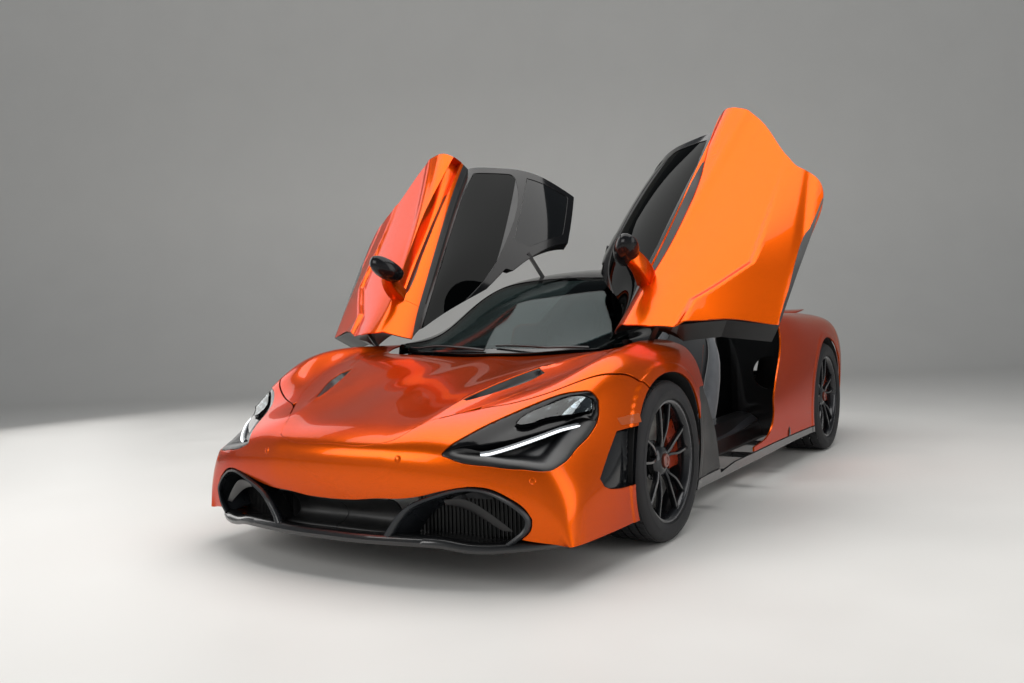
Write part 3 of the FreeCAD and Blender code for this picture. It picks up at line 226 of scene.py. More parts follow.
def spline(places, values):
    """Natural cubic spline through rows of values, as a function of an array."""
    k = np.asarray(places, float)
    v = np.asarray(values, float)
    n = len(k)
    h = np.diff(k)
    matrix = np.zeros((n, n))
    right = np.zeros_like(v)
    matrix[0, 0] = matrix[-1, -1] = 1
    for i in range(1, n - 1):
        matrix[i, i - 1:i + 2] = h[i - 1], 2 * (h[i - 1] + h[i]), h[i]
        right[i] = 6 * ((v[i + 1] - v[i]) / h[i] - (v[i] - v[i - 1]) / h[i - 1])
    bend = np.linalg.solve(matrix, right.reshape(n, -1)).reshape(v.shape)

    def value(t):
        t = np.atleast_1d(np.asarray(t, float))
        i = np.clip(np.searchsorted(k, t, side="right") - 1, 0, n - 2)
        a = (k[i + 1] - t) / h[i]
        b = (t - k[i]) / h[i]
        e = (slice(None),) + (None,) * (v.ndim - 1)
        curve = ((a ** 3 - a)[e] * bend[i] + (b ** 3 - b)[e] * bend[i + 1]) * (h[i] ** 2)[e] / 6
        return a[e] * v[i] + b[e] * v[i + 1] + curve

    return value


def unit(v):
    return v / np.maximum(np.linalg.norm(v, axis=-1, keepdims=True), 1e-9)


def smoothstep(x):
    x = np.clip(x, 0, 1)
    return x * x * (3 - 2 * x)


def flow(points, closed=True, steps=6, corner=38):
    """A smooth line through an outline's points, kept sharp at its corners."""
    p = np.asarray(points, float)
    n = len(p)
    tangents = []
    for i in range(n):
        before, after = p[i - 1], p[(i + 1) % n]
        if not closed and i in (0, n - 1):
            tangents.append(None)
            continue
        a, b = p[i] - before, after - p[i]
        turn = abs(math.degrees(math.atan2(a[0] * b[1] - a[1] * b[0], a @ b)))
        tangents.append(None if turn > corner else unit(unit(a) + unit(b)))
    line = []
    for i in range(n if closed else n - 1):
        a, b = p[i], p[(i + 1) % n]
        chord = b - a
        length = np.linalg.norm(chord)
        m0 = chord if tangents[i] is None else tangents[i] * length
        m1 = chord if tangents[(i + 1) % n] is None else tangents[(i + 1) % n] * length
        if tangents[i] is None and tangents[(i + 1) % n] is None:
            line.append(a)
            continue
        for s in np.arange(steps) / steps:
            line.append((2 * s ** 3 - 3 * s ** 2 + 1) * a + (s ** 3 - 2 * s ** 2 + s) * m0
                        + (3 * s ** 2 - 2 * s ** 3) * b + (s ** 3 - s ** 2) * m1)
    if not closed:
        line.append(p[-1])
    return np.array(line)


def segments_distance(points, a, b):
    ab = b - a
    best = np.full(len(points), 1e9)
    for start, way in zip(a, ab):
        s = np.clip((points - start) @ way / max(way @ way, 1e-9), 0, 1)
        best = np.minimum(best, np.linalg.norm(points - start - s[:, None] * way, axis=1))
    return best


def within(points, ring):
    """Distance to a closed outline in mm, positive inside it."""
    a, b = ring, np.roll(ring, -1, axis=0)
    inside = np.zeros(len(points), bool)
    for (x0, y0), (x1, y1) in zip(a, b):
        crosses = (y0 > points[:, 1]) != (y1 > points[:, 1])
        if y0 != y1:
            inside ^= crosses & (points[:, 0] < (x1 - x0) * (points[:, 1] - y0) / (y1 - y0) + x0)
    distance = segments_distance(points, a, b)
    return np.where(inside, distance, -distance)


def beyond(points, line):
    """Signed distance to an open line in mm, positive on its right-hand side."""
    a, b = line[:-1], line[1:]
    best = np.full(len(points), 1e9)
    signed = np.zeros(len(points))
    for start, stop in zip(a, b):
        way = stop - start
        s = np.clip((points - start) @ way / (way @ way), 0, 1)
        off = points - start - s[:, None] * way
        d = np.linalg.norm(off, axis=1)
        side = np.sign(off[:, 0] * way[1] - off[:, 1] * way[0])
        closer = d < best - 1e-6
        best = np.where(closer, d, best)
        signed = np.where(closer, side * d, signed)
    return signed


AXES = {"top": (0, 1), "side": (1, 2), "front": (0, 2)}


def inside_of(outline, view, grow=0.0, sharp=False):
    """A test that is positive within an outline, seen from the top, side or front."""
    ring = np.asarray(outline, float) if sharp else flow(outline)
    return lambda p: within(p[:, AXES[view]], ring) + grow


def outside_of(outline, view, grow=0.0, sharp=False):
    test = inside_of(outline, view, grow, sharp)
    return lambda p: -test(p)


def arch_of(y, z, radius):
    """A test that is positive outside a wheel arch."""
    return lambda p: np.hypot(p[:, 1] - y, p[:, 2] - z) - radius


def both(points):
    return points + [(-x, y) for x, y in reversed(points) if x > 0]


HINGE_AXIS = unit(HINGE_FOOT - HINGE_TOP)


def shield_of(p):
    """Distance inside the door's solid of revolution in mm, positive for fixed pieces."""
    rel = p - HINGE_TOP
    s = rel @ HINGE_AXIS
    r = np.linalg.norm(rel - s[:, None] * HINGE_AXIS, axis=1)
    ring = np.array(DOOR_SHIELD + [(1270, -50), (-300, -50)], float)
    return within(np.stack([s, r], 1), ring)


def chords(net):
    """Running lengths along and across a net of points, as means over its lines."""
    steps = (np.linalg.norm(np.diff(net, axis=way), axis=2).mean(1 - way) for way in (0, 1))
    return [np.concatenate([[0], np.cumsum(step)]) for step in steps]


def resampled(net, along, across, rows, columns):
    """A net's smooth surface, sampled evenly from zero to the end of both running lengths."""
    grid = spline(along, net)(np.linspace(0, along[-1], rows))
    grid = spline(across, np.swapaxes(grid, 0, 1))(np.linspace(0, across[-1], columns))
    return np.swapaxes(grid, 0, 1)


def grid_faces(rows, columns):
    """Two triangles for each cell of a grid of points."""
    k = np.arange(rows * columns).reshape(rows, columns)
    a, b, c, d = (q.ravel() for q in (k[:-1, :-1], k[:-1, 1:], k[1:, 1:], k[1:, :-1]))
    return np.concatenate([np.stack([a, b, c], 1), np.stack([a, c, d], 1)])


def rim_of(p, edges):
    """The border's points, and each point's number among them."""
    rim = np.unique(edges)
    at = np.full(len(p), -1)
    at[rim] = np.arange(len(rim))
    return rim, at


class Skin:
    """A smooth skin through mirrored sections, sampled finely on its left half."""

    def __init__(self, rows, half, step, lift=None):
        net = []
        for _, y, bow, columns in rows:
            left = [(x, y + bow * (x / half) ** 2.2, z) for x, z in columns]
            net.append([(-x, y0, z) for x, y0, z in left[:0:-1]] + left)
        net = np.array(net, float)
        along, across = chords(net)
        across -= across[-1] / 2
        self.size = (int(along[-1] / step) + 1, int(across[-1] / step) + 1)
        self.place = resampled(net, along, across, *self.size)
        self.normal = self.normals()
        if lift is not None:
            rise = lift(self.place.reshape(-1, 3)).reshape(self.size)
            self.place = self.place + self.normal * rise[:, :, None]
            self.normal = self.normals()

    def normals(self):
        lengthwise = np.gradient(self.place, axis=0)
        crosswise = np.gradient(self.place, axis=1)
        normal = unit(np.cross(crosswise, lengthwise))
        normal[:, 0, 0] = 0
        return unit(normal)

    def sample(self, uv, grid):
        """Places or normals at fractions (along, across) of the sampled skin."""
        i = np.clip(uv[:, 0] * (self.size[0] - 1), 0, self.size[0] - 1.000001)
        j = np.clip(uv[:, 1] * (self.size[1] - 1), 0, self.size[1] - 1.000001)
        a, b = i.astype(int), j.astype(int)
        u, v = (i - a)[:, None], (j - b)[:, None]
        return ((1 - u) * (1 - v) * grid[a, b] + u * (1 - v) * grid[a + 1, b]
                + (1 - u) * v * grid[a, b + 1] + u * v * grid[a + 1, b + 1])

    def mesh(self, coarse, tests):
        """Fractions and triangles of the part of the skin where every test is positive."""
        nu, nv = self.size[0] // coarse + 1, self.size[1] // coarse + 1
        u, v = np.meshgrid(np.linspace(0, 1, nu), np.linspace(0, 1, nv), indexing="ij")
        uv, faces = np.stack([u.ravel(), v.ravel()], 1), grid_faces(nu, nv)
        for test in tests:
            uv, faces = self.trim(uv, faces, test)
        return uv, faces

    def trim(self, uv, faces, test):
        """Cut a triangle mesh along the line where a test is zero, and keep its positive side."""
        value = test(self.sample(uv, self.place))
        value = np.where(np.abs(value) < 0.05, 0.05, value)
        keep = value > 0
        count = keep[faces].sum(1)
        parts, fresh, extra = [faces[count == 3]], {}, []

        def crossing(a, b):
            key = (min(a, b), max(a, b))
            if key not in fresh:
                fresh[key] = len(uv) + len(extra)
                extra.append(key)
            return fresh[key]

        cut = []
        for face in faces[(count > 0) & (count < 3)]:
            inside = keep[face]
            if inside.sum() == 1:
                i = int(np.argmax(inside))
                a, b, c = face[i], face[(i + 1) % 3], face[(i + 2) % 3]
                cut.append((a, crossing(a, b), crossing(a, c)))
            else:
                i = int(np.argmin(inside))
                a, b, c = face[i], face[(i + 1) % 3], face[(i + 2) % 3]
                ab, ac = crossing(a, b), crossing(a, c)
                cut += [(ab, b, c), (ab, c, ac)]
        if extra:
            pairs = np.array(extra)
            low, high = uv[pairs[:, 0]], uv[pairs[:, 1]]
            f0, f1 = value[pairs[:, 0]], value[pairs[:, 1]]
            for _ in range(3):
                s = f0 / (f0 - f1)
                middle = low + (high - low) * s[:, None]
                fm = test(self.sample(middle, self.place))
                same = np.sign(fm) == np.sign(f0)
                low, f0 = np.where(same[:, None], middle, low), np.where(same, fm, f0)
                high, f1 = np.where(same[:, None], high, middle), np.where(same, f1, fm)
                f0 = np.where(f0 == 0, 1e-9 * np.sign(-f1), f0)
                f1 = np.where(f1 == 0, 1e-9 * np.sign(-f0), f1)
            uv = np.concatenate([uv, middle])
            parts.append(np.array(cut))
        faces = np.concatenate(parts)
        used = np.unique(faces)
        back = np.zeros(len(uv), int)
        back[used] = np.arange(len(used))
        return uv[used], back[faces]


def border(faces):
    """Directed edges that only one triangle uses."""
    edges = np.concatenate([faces[:, [0, 1]], faces[:, [1, 2]], faces[:, [2, 0]]])
    keys = np.sort(edges, axis=1)
    order = np.unique(keys, axis=0, return_inverse=True, return_counts=True)
    return edges[order[2][order[1].ravel()] == 1]


def panel(skin, tests, thick=9.0, roll=1.6, sunk=0.0, coarse=2, centre=False):
    """A panel cut from a skin: outer face, rolled edge and inner face, with its shading normals.

    Where the depth it is sunk by is a function of the places, Blender finds the normals.
    """
    uv, faces = skin.mesh(coarse, tests)
    p = skin.sample(uv, skin.place)
    n = unit(skin.sample(uv, skin.normal))
    if centre:
        middle = p[:, 0] < 0.01
        p[middle, 0] = 0
        n[middle, 0] = 0
        n = unit(n)
        twin = np.where(middle, np.arange(len(p)), len(p) + np.cumsum(~middle) - 1)
        flip = np.array([-1, 1, 1])
        faces = np.concatenate([faces, twin[faces][:, ::-1]])
        p, n = np.concatenate([p, p[~middle] * flip]), np.concatenate([n, n[~middle] * flip])
    if callable(sunk):
        shape = shell(p - n * sunk(p)[:, None], n, faces, thick, roll)
        return {"p": shape["p"], "f": shape["f"]}
    return shell(p - n * sunk, n, faces, thick, roll)


def shell(p, n, faces, thick, roll):
    """Thicken a surface inwards and roll its border, with a normal for each face corner."""
    edges = border(faces)
    rim, at = rim_of(p, edges)
    out = np.zeros((len(rim), 3))
    away = unit(np.cross(p[edges[:, 1]] - p[edges[:, 0]], n[edges[:, 0]]))
    np.add.at(out, at[edges[:, 0]], away)
    np.add.at(out, at[edges[:, 1]], away)
    out = unit(out)
    rim_p, rim_n = p[rim], n[rim]
    outer = p.copy()
    outer[rim] -= out * roll
    bend = rim_p - out * roll * 0.3 - rim_n * roll * 0.3
    side = rim_p - rim_n * roll
    under = p - n * thick
    count, m = len(p), len(rim)
    places = np.concatenate([outer, bend, side, under])
    bend_n, side_n = unit(rim_n + out), out
    rows = [(edges, 0, None, n), (at[edges], count, at[edges], bend_n),
            (at[edges], count + m, at[edges], side_n), (edges, count + 2 * m, at[edges], side_n)]
    tris, normals = [faces, faces[:, ::-1] + count + 2 * m], [n[faces], -n[faces[:, ::-1]]]
    for (e0, base0, i0, n0), (e1, base1, i1, n1) in zip(rows, rows[1:]):
        na = n0[e0 if i0 is None else i0]
        nb = n1[i1]
        a, b = e0[:, 0] + base0, e0[:, 1] + base0
        c, d = e1[:, 0] + base1, e1[:, 1] + base1
        tris += [np.stack([a, c, b], 1), np.stack([b, c, d], 1)]
        normals += [np.stack([na[:, 0], nb[:, 0], na[:, 1]], 1),
                    np.stack([na[:, 1], nb[:, 0], nb[:, 1]], 1)]
    return {"p": places, "f": np.concatenate(tris), "n": np.concatenate(normals)}


def mirrored(shape):
    flip = np.array([-1, 1, 1])
    result = {"p": shape["p"] * flip, "f": shape["f"][:, ::-1]}
    if "n" in shape:
        result["n"] = shape["n"][:, ::-1] * flip
    return result


def pair(shape):
    """A shape and its mirror image in one."""
    return joined([shape, mirrored(shape)])


def turned(shape):
    """A shape of the left door, opened about its hinge line."""
    angle = math.radians(DOOR_OPEN)
    c, s = math.cos(angle), math.sin(angle)
    k = HINGE_AXIS

    def spin(v):
        return v * c + np.cross(k, v) * s + (v @ k)[..., None] * k * (1 - c)

    result = {"p": spin(shape["p"] - HINGE_TOP) + HINGE_TOP, "f": shape["f"]}
    if "n" in shape:
        result["n"] = spin(shape["n"])
    return result


def joined(shapes):
    """Shapes put in one mesh. Shading normals stay where every shape has them."""
    start, p, f, n = 0, [], [], []
    for s in shapes:
        p.append(s["p"])
        f.append(s["f"] + start)
        start += len(s["p"])
        if "n" in s:
            n.append(s["n"])
    result = {"p": np.concatenate(p), "f": np.concatenate(f)}
    if len(n) == len(shapes):
        result["n"] = np.concatenate(n)
    return result


def make_piece(name, shape, finish, body="chassis", stands_for=(), slot=None):
    """A Blender object from a shape in mm, riding on a body of the car."""
    p, f = shape["p"], shape["f"]
    good = np.linalg.norm(np.cross(p[f[:, 1]] - p[f[:, 0]], p[f[:, 2]] - p[f[:, 0]]), axis=1) > 1e-4
    mesh = mesh_of(name, p, f[good])
    mesh.shade_smooth()
    if "n" in shape:
        mesh.normals_split_custom_set(unit(shape["n"][good].reshape(-1, 3)).tolist())
    return settle(linked(name, mesh, finish), body, stands_for)


def mesh_of(name, places, faces):
    """A mesh in metres from places in mm."""
    mesh = bpy.data.meshes.new(name)
    mesh.from_pydata((places / 1000).tolist(), [], faces.tolist())
    return mesh


def linked(name, mesh, finish):
    """An object of the scene that shows a mesh in one finish."""
    mesh.materials.append(finish)
    piece = bpy.data.objects.new(name, mesh)
    bpy.context.scene.collection.objects.link(piece)
    return piece


def settle(piece, body, stands_for=()):
    """Let a piece ride on a body, in place of CAD nodes."""
    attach(piece, body)
    if stands_for:
        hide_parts(*stands_for)
    return piece


def drop(skin, x, y):
    """Place and normal of a skin's upper side under a point seen from above."""
    flat = skin.place.reshape(-1, 3)
    high = flat[:, 2] > 480
    far = np.hypot(flat[:, 0] - x, flat[:, 1] - y) + 1e6 * ~high
    return settle_on(skin, int(np.argmin(far)), np.array([x, y, 0.0]), [0, 1])


def settle_on(skin, index, goal, axes):
    """Move from a sample of the skin to where it has the goal's coordinates."""
    uv = np.array([index // skin.size[1] / (skin.size[0] - 1),
                   index % skin.size[1] / (skin.size[1] - 1)])
    step = np.array([1 / (skin.size[0] - 1), 1 / (skin.size[1] - 1)])
    for _ in range(4):
        here = skin.sample(np.array([uv, uv + [step[0], 0], uv + [0, step[1]]]), skin.place)
        slopes = (here[1:] - here[0]).T
        move = np.linalg.lstsq(slopes[axes], goal[axes] - here[0][axes], rcond=None)[0]
        uv = np.clip(uv + np.clip(move, -3, 3) * step, 0, 1)
    at = np.array([uv])
    return skin.sample(at, skin.place)[0], unit(skin.sample(at, skin.normal))[0]


def nearest(skin, x, y, z):
    """Place and normal of the skin's sample that is nearest to a point."""
    flat = skin.place.reshape(-1, 3)
    index = int(np.argmin(np.linalg.norm(flat - [x, y, z], axis=1)))
    return flat[index], skin.normal.reshape(-1, 3)[index]


Skin.drop, Skin.nearest = drop, nearest


def facing_frame(normal):
    """A turn that takes the X axis to a normal."""
    side = unit(np.cross([0.0, 0.0, 1.0], normal))
    return np.stack([normal, side, np.cross(normal, side)], 1)


def placed(shape, place, turn):
    return {**shape, "p": shape["p"] @ turn.T + place}


def plain_shape(shape):
    """A shape without shading normals."""
    return {"p": shape["p"], "f": shape["f"]}


def curtain(skin, tests, top, bottom):
    """A wall round the border of a part of a skin, between two depths."""
    uv, faces = skin.mesh(2, tests)
    p, n = skin.sample(uv, skin.place), unit(skin.sample(uv, skin.normal))
    edges = border(faces)
    rim, at = rim_of(p, edges)
    e = at[edges]
    m = len(rim)
    places = np.concatenate([p[rim] - n[rim] * top, p[rim] - n[rim] * bottom])
    a, b = e[:, 0], e[:, 1]
    faces = np.concatenate([np.stack([a, b, b + m], 1), np.stack([a, b + m, a + m], 1)])
    return {"p": places, "f": faces}


def loft(rings, cap=True, closed=True):
    """A skin through rings with the same number of points, closed at its ends by fans."""
    r = np.asarray(rings, float)
    m, k = r.shape[:2]
    at = np.arange(m * k).reshape(m, k)
    to = np.roll(at, -1, axis=1) if closed else at[:, 1:]
    at = at if closed else at[:, :-1]
    a, b, c, d = at[:-1].ravel(), to[:-1].ravel(), to[1:].ravel(), at[1:].ravel()
    faces = [np.stack([a, b, c], 1), np.stack([a, c, d], 1)]
    p = [r.reshape(-1, 3)]
    if cap:
        for ring, turn, middle in ((0, 1, m * k), (m - 1, -1, m * k + 1)):
            p.append(r[ring].mean(0)[None])
            i = np.arange(k) + ring * k
            j = np.roll(np.arange(k), -1) + ring * k
            fan = np.stack([np.full(k, middle), j, i], 1)
            faces.append(fan if turn > 0 else fan[:, ::-1])
    return {"p": np.concatenate(p), "f": np.concatenate(faces)}


def lathe(profile, centre, around=72, axis="x"):
    """A profile of (along, radius) spun about an axis through a centre."""
    angle = np.linspace(0, 2 * math.pi, around, endpoint=False)
    prof = np.asarray(profile, float)
    rings = []
    for a, r in prof:
        u, v = r * np.cos(angle), r * np.sin(angle)
        flat = np.full(around, a)
        rings.append({"x": np.stack([flat, u, v], 1), "y": np.stack([u, flat, -v], 1),
                      "z": np.stack([u, v, flat], 1)}[axis])
    shape = loft(rings, cap=False)
    shape["p"] = shape["p"] + np.asarray(centre, float)
    return shape


def closed_lathe(profile, centre, around=72, axis="x"):
    return lathe(list(profile) + [profile[0]], centre, around, axis)


def tube(points, radius, around=12, cap=True):
    """A round bar along a line. The radius may vary with the points."""
    p = np.asarray(points, float)
    radii = np.broadcast_to(np.asarray(radius, float), (len(p),))
    way = unit(np.gradient(p, axis=0))
    side = np.cross(way[0], [0.13, 0.31, 0.94])
    angle = np.linspace(0, 2 * math.pi, around, endpoint=False)
    rings = []
    for place, w, r in zip(p, way, radii):
        side = unit(side - w * (side @ w))
        up = np.cross(w, side)
        rings.append(place + r * (np.outer(np.cos(angle), side) + np.outer(np.sin(angle), up)))
    return loft(rings, cap)


def bend(points, steps=8):
    """A smooth line through points in space."""
    p = np.asarray(points, float)
    k = np.concatenate([[0], np.cumsum(np.linalg.norm(np.diff(p, axis=0), axis=1))])
    return spline(k, p)(np.linspace(0, k[-1], steps * (len(p) - 1) + 1))


def bar(points, width, depth, up, corner=0.25):
    """A bar of rounded rectangular section. Width lies across the line and up, depth along up."""
    p = np.asarray(points, float)
    way = unit(np.gradient(p, axis=0))
    up = np.broadcast_to(np.asarray(up, float), p.shape)
    side = unit(np.cross(way, up))
    lift = unit(np.cross(side, way))
    width = np.broadcast_to(np.asarray(width, float), (len(p),)) / 2
    depth = np.broadcast_to(np.asarray(depth, float), (len(p),)) / 2
    c = 1 - corner
    section = [(1, c), (c, 1), (-c, 1), (-1, c), (-1, -c), (-c, -1), (c, -1), (1, -c)]
    rings = [np.stack([side * width[:, None] * u + lift * depth[:, None] * v for u, v in section], 1)]
    return loft(rings[0] + p[:, None, :])


def inset(ring, by):
    """An outline moved inwards along its corners' bisectors."""
    p = np.asarray(ring, float)
    area = np.sum(p[:, 0] * np.roll(p[:, 1], -1) - np.roll(p[:, 0], -1) * p[:, 1])
    turn = 1 if area > 0 else -1
    a, b = unit(p - np.roll(p, 1, axis=0)), unit(np.roll(p, -1, axis=0) - p)
    na, nb = np.stack([-a[:, 1], a[:, 0]], 1) * turn, np.stack([-b[:, 1], b[:, 0]], 1) * turn
    middle = unit(na + nb)
    return p + middle * (by / np.maximum((middle * na).sum(1), 0.4))[:, None]


def slab(points, axis, low, high, edge=1.5, smooth=False):
    """An outline pushed along an axis, with rounded rims. Views as in the part's source."""
    ring = flow(points) if smooth else np.asarray(points, float)
    place = {"z": lambda q, c: np.stack([q[:, 0], q[:, 1], c], 1),
             "x": lambda q, c: np.stack([c, q[:, 0], q[:, 1]], 1),
             "y": lambda q, c: np.stack([q[:, 0], c, q[:, 1]], 1)}[axis]
    rings = []
    for depth, by in ((low, edge), (low + edge * 0.3, edge * 0.3), (low + edge, 0),
                      (high - edge, 0), (high - edge * 0.3, edge * 0.3), (high, edge)):
        q = inset(ring, by)
        rings.append(place(q, np.full(len(q), float(depth))))
    side = loft(rings, cap=False)
    k = len(ring)
    flat = tessellate(inset(ring, edge))
    top = flat + k * 5
    faces = np.concatenate([side["f"], flat[:, ::-1], top])
    return oriented({"p": side["p"], "f": faces})


def tessellate(ring):
    """Triangles that fill an outline."""
    found = tessellate_polygon([[Vector((x, y, 0)) for x, y in ring]])
    tris = np.array(found, int)
    a, b, c = (ring[tris[:, i]] for i in range(3))
    area = (b[:, 0] - a[:, 0]) * (c[:, 1] - a[:, 1]) - (b[:, 1] - a[:, 1]) * (c[:, 0] - a[:, 0])
    tris[area < 0] = tris[area < 0][:, ::-1]
    return tris


def oriented(shape):
    """Faces turned so that their normals point outwards."""
    bm = bmesh.new()
    verts = [bm.verts.new(p) for p in shape["p"]]
    for face in shape["f"]:
        if len(set(face)) == 3:
            try:
                bm.faces.new([verts[i] for i in face])
            except ValueError:
                continue
    bmesh.ops.recalc_face_normals(bm, faces=bm.faces)
    bm.verts.index_update()
    faces = np.array([[v.index for v in f.verts] for f in bm.faces])
    bm.free()
    return {"p": shape["p"], "f": faces}


def brick(x0, x1, y0, y1, z0, z1, edge=3.0):
    """A block with rounded edges."""
    return slab([(x0, y0), (x1, y0), (x1, y1), (x0, y1)], "z", z0, z1, edge)


def sheet_shape(rows, thick, across=24, lengthwise=24, roll=2.0):
    """A thick surface through rows of points in space."""
    net = np.asarray(rows, float)
    grid = resampled(net, *chords(net), lengthwise, across)
    n = unit(np.cross(np.gradient(grid, axis=1), np.gradient(grid, axis=0)))
    faces = grid_faces(lengthwise, across)
    return shell(grid.reshape(-1, 3), n.reshape(-1, 3), faces, thick, roll)


def moved(shape, by):
    return {**shape, "p": shape["p"] + np.asarray(by, float)}


def crisp_piece(name, shape, finish, body="chassis", stands_for=(), slot=None, angle=32.0):
    """A Blender object from a shape without shading normals, sharp where its faces turn."""
    mesh = mesh_of(name, shape["p"], shape["f"])
    mesh.validate()
    soften(mesh, angle)
    return settle(linked(name, mesh, finish), body, stands_for)


def soften(mesh, angle):
    """Smooth shading, with sharp edges over an angle in degrees."""
    mesh.shade_smooth()
    mesh.set_sharp_from_angle(angle=math.radians(angle))


def colour(code):
    """Opaque linear colour from an sRGB code such as "c8501e"."""
    parts = [int(code[i:i + 2], 16) / 255 for i in (0, 2, 4)]
    return [p / 12.92 if p <= 0.04045 else ((p + 0.055) / 1.055) ** 2.4 for p in parts] + [1.0]


def node(tree, kind, inputs=None, **settings):
    """Add a shader node, set its properties, then link or set its inputs by name or number."""
    new = tree.nodes.new(kind)
    for key, value in settings.items():
        setattr(new, key, value)
    for key, value in (inputs or {}).items():
        if isinstance(value, bpy.types.NodeSocket):
            tree.links.new(value, new.inputs[key])
        else:
            new.inputs[key].default_value = value
    return new


def finish_base(name):
    material = bpy.data.materials.new(name)
    material.use_nodes = True
    tree = material.node_tree
    tree.nodes.clear()
    place = node(tree, "ShaderNodeTexCoord").outputs["Object"]
    return material, tree, place


def finish_end(material, tree, shader):
    node(tree, "ShaderNodeOutputMaterial", {"Surface": shader})
    return material


def noise(tree, place, millimetres, detail=2.0):
    scale = 1000.0 / millimetres
    return node(tree, "ShaderNodeTexNoise", {"Vector": place, "Scale": scale, "Detail": detail})


def span(tree, value, low, high):
    """A noise value between 0 and 1 spread from low to high."""
    return node(tree, "ShaderNodeMapRange", {"Value": value, "From Min": 0.3, "From Max": 0.7,
                                             "To Min": low, "To Max": high}).outputs["Result"]


def tint(tree, factor, a, b):
    """A colour between two codes."""
    ends = [colour(value) if isinstance(value, str) else value for value in (a, b)]
    return node(tree, "ShaderNodeMix", {0: factor, 6: ends[0], 7: ends[1]}, data_type="RGBA").outputs[2]


def bump(tree, height, depth_mm, strength=1.0):
    return node(tree, "ShaderNodeBump", {"Height": height, "Distance": depth_mm / 1000,
                                         "Strength": strength}).outputs["Normal"]


def surface(tree, **inputs):
    """A principled surface. Inputs are named with underscores, and colours may be codes."""
    names = {key.replace("_", " "): colour(value) if isinstance(value, str) else value
             for key, value in inputs.items()}
    return node(tree, "ShaderNodeBsdfPrincipled", names).outputs["BSDF"]


def car_paint():
    """Metallic orange lacquer: fine flakes, warm where it faces the eye, deep at the edges."""
    material, tree, place = finish_base("car_paint_orange_metallic")
    facing = node(tree, "ShaderNodeLayerWeight", {"Blend": 0.42}).outputs["Facing"]
    base = tint(tree, facing, "ea5a04", "921d03")
    flakes = node(tree, "ShaderNodeTexVoronoi", {"Vector": place, "Scale": 1400.0})
    sparkle = node(tree, "ShaderNodeMapRange", {"Value": flakes.outputs["Distance"], "To Min": 0.2,
                                                "To Max": 0.34}).outputs["Result"]
    shade = tint(tree, span(tree, flakes.outputs["Color"], 0.0, 0.2), base, "f87a0c")
    peel = bump(tree, noise(tree, place, 5.0).outputs["Fac"], 0.010, 0.25)
    shader = surface(tree, Base_Color=shade, Metallic=0.72, Roughness=sparkle, Normal=peel,
                     Coat_Weight=0.5, Coat_Roughness=0.02, Coat_IOR=1.32, IOR=1.3,
                     Specular_Tint="ff9c30")
    return finish_end(material, tree, shader)


def drifting(name, patches, tones, rough, grain=None, relief=None, **extra):
    """A finish whose tone drifts in patches, and whose face a grain breaks.

    patches and grain are (size in mm, detail), tones two codes, relief (depth in mm, strength).
    rough is one value, or (low, high) over the patches. Without a grain, the patches make the relief.
    """
    material, tree, place = finish_base(name)
    drift = noise(tree, place, *patches).outputs["Fac"]
    if isinstance(rough, tuple):
        rough = span(tree, drift, *rough)
    if relief:
        height = noise(tree, place, *grain).outputs["Fac"] if grain else drift
        extra["Normal"] = bump(tree, height, *relief)
    shader = surface(tree, Base_Color=tint(tree, drift, *tones), Roughness=rough, **extra)
    return finish_end(material, tree, shader)


def satin_plastic(name="satin_plastic_black", code="101112", lighter="1a1b1d", rough=0.42):
    """Moulded plastic: a fine grain that breaks the highlight, a little wear in the tone."""
    return drifting(name, (160.0, 2.0), (code, lighter), (rough - 0.06, rough + 0.08), (1.4, 3.0),
                    (0.06, 0.4))


def gloss_black(name="gloss_black_lacquer", code="060607"):
    """Piano black: deep and mirror-like with faint ripples."""
    return drifting(name, (40.0, 2.0), (code, "0c0c0e"), 0.14, relief=(0.05, 0.2), IOR=1.3,
                    Coat_Weight=0.25, Coat_Roughness=0.03, Coat_IOR=1.3)


TWILL_MM = 4.0


def carbon(name="carbon_twill"):
    """Lacquered carbon twill: diagonal bands that catch the light in turn."""
    material, tree, place = finish_base(name)
    bands = []
    for turn in (0.7854, -0.7854):
        spun = node(tree, "ShaderNodeMapping", {"Vector": place, "Rotation": (turn, turn, 0.0)})
        wave = node(tree, "ShaderNodeTexWave", {"Vector": spun.outputs["Vector"],
                                                "Scale": 1000 / TWILL_MM / 6.2832 * 3.14})
        bands.append(wave.outputs["Fac"])
    weave = node(tree, "ShaderNodeMath", {0: bands[0], 1: bands[1]}, operation="MULTIPLY").outputs[0]
    shader = surface(tree, Base_Color=tint(tree, weave, "0b0b0c", "26272a"), Metallic=0.25,
                     Roughness=0.34, Coat_Weight=0.9, Coat_Roughness=0.06,
                     Normal=bump(tree, weave, 0.05, 0.4))
    return finish_end(material, tree, shader)


def cast_metal(name, code, lighter):
    """Cast or sand-blasted metal: a pebbled face with a broad soft shine."""
    return drifting(name, (90.0, 2.0), (code, lighter), (0.4, 0.55), (1.2, 4.0), (0.12, 0.5),
                    Metallic=0.9)


def lacquered_metal(name, code, lighter, rough=0.28):
    """Painted alloy: a smooth coloured face under thin lacquer."""
    return drifting(name, (60.0, 2.0), (code, lighter), (rough - 0.04, rough + 0.06), (3.0, 2.0),
                    (0.02, 0.3), Metallic=0.55, Coat_Weight=0.5, Coat_Roughness=0.05)


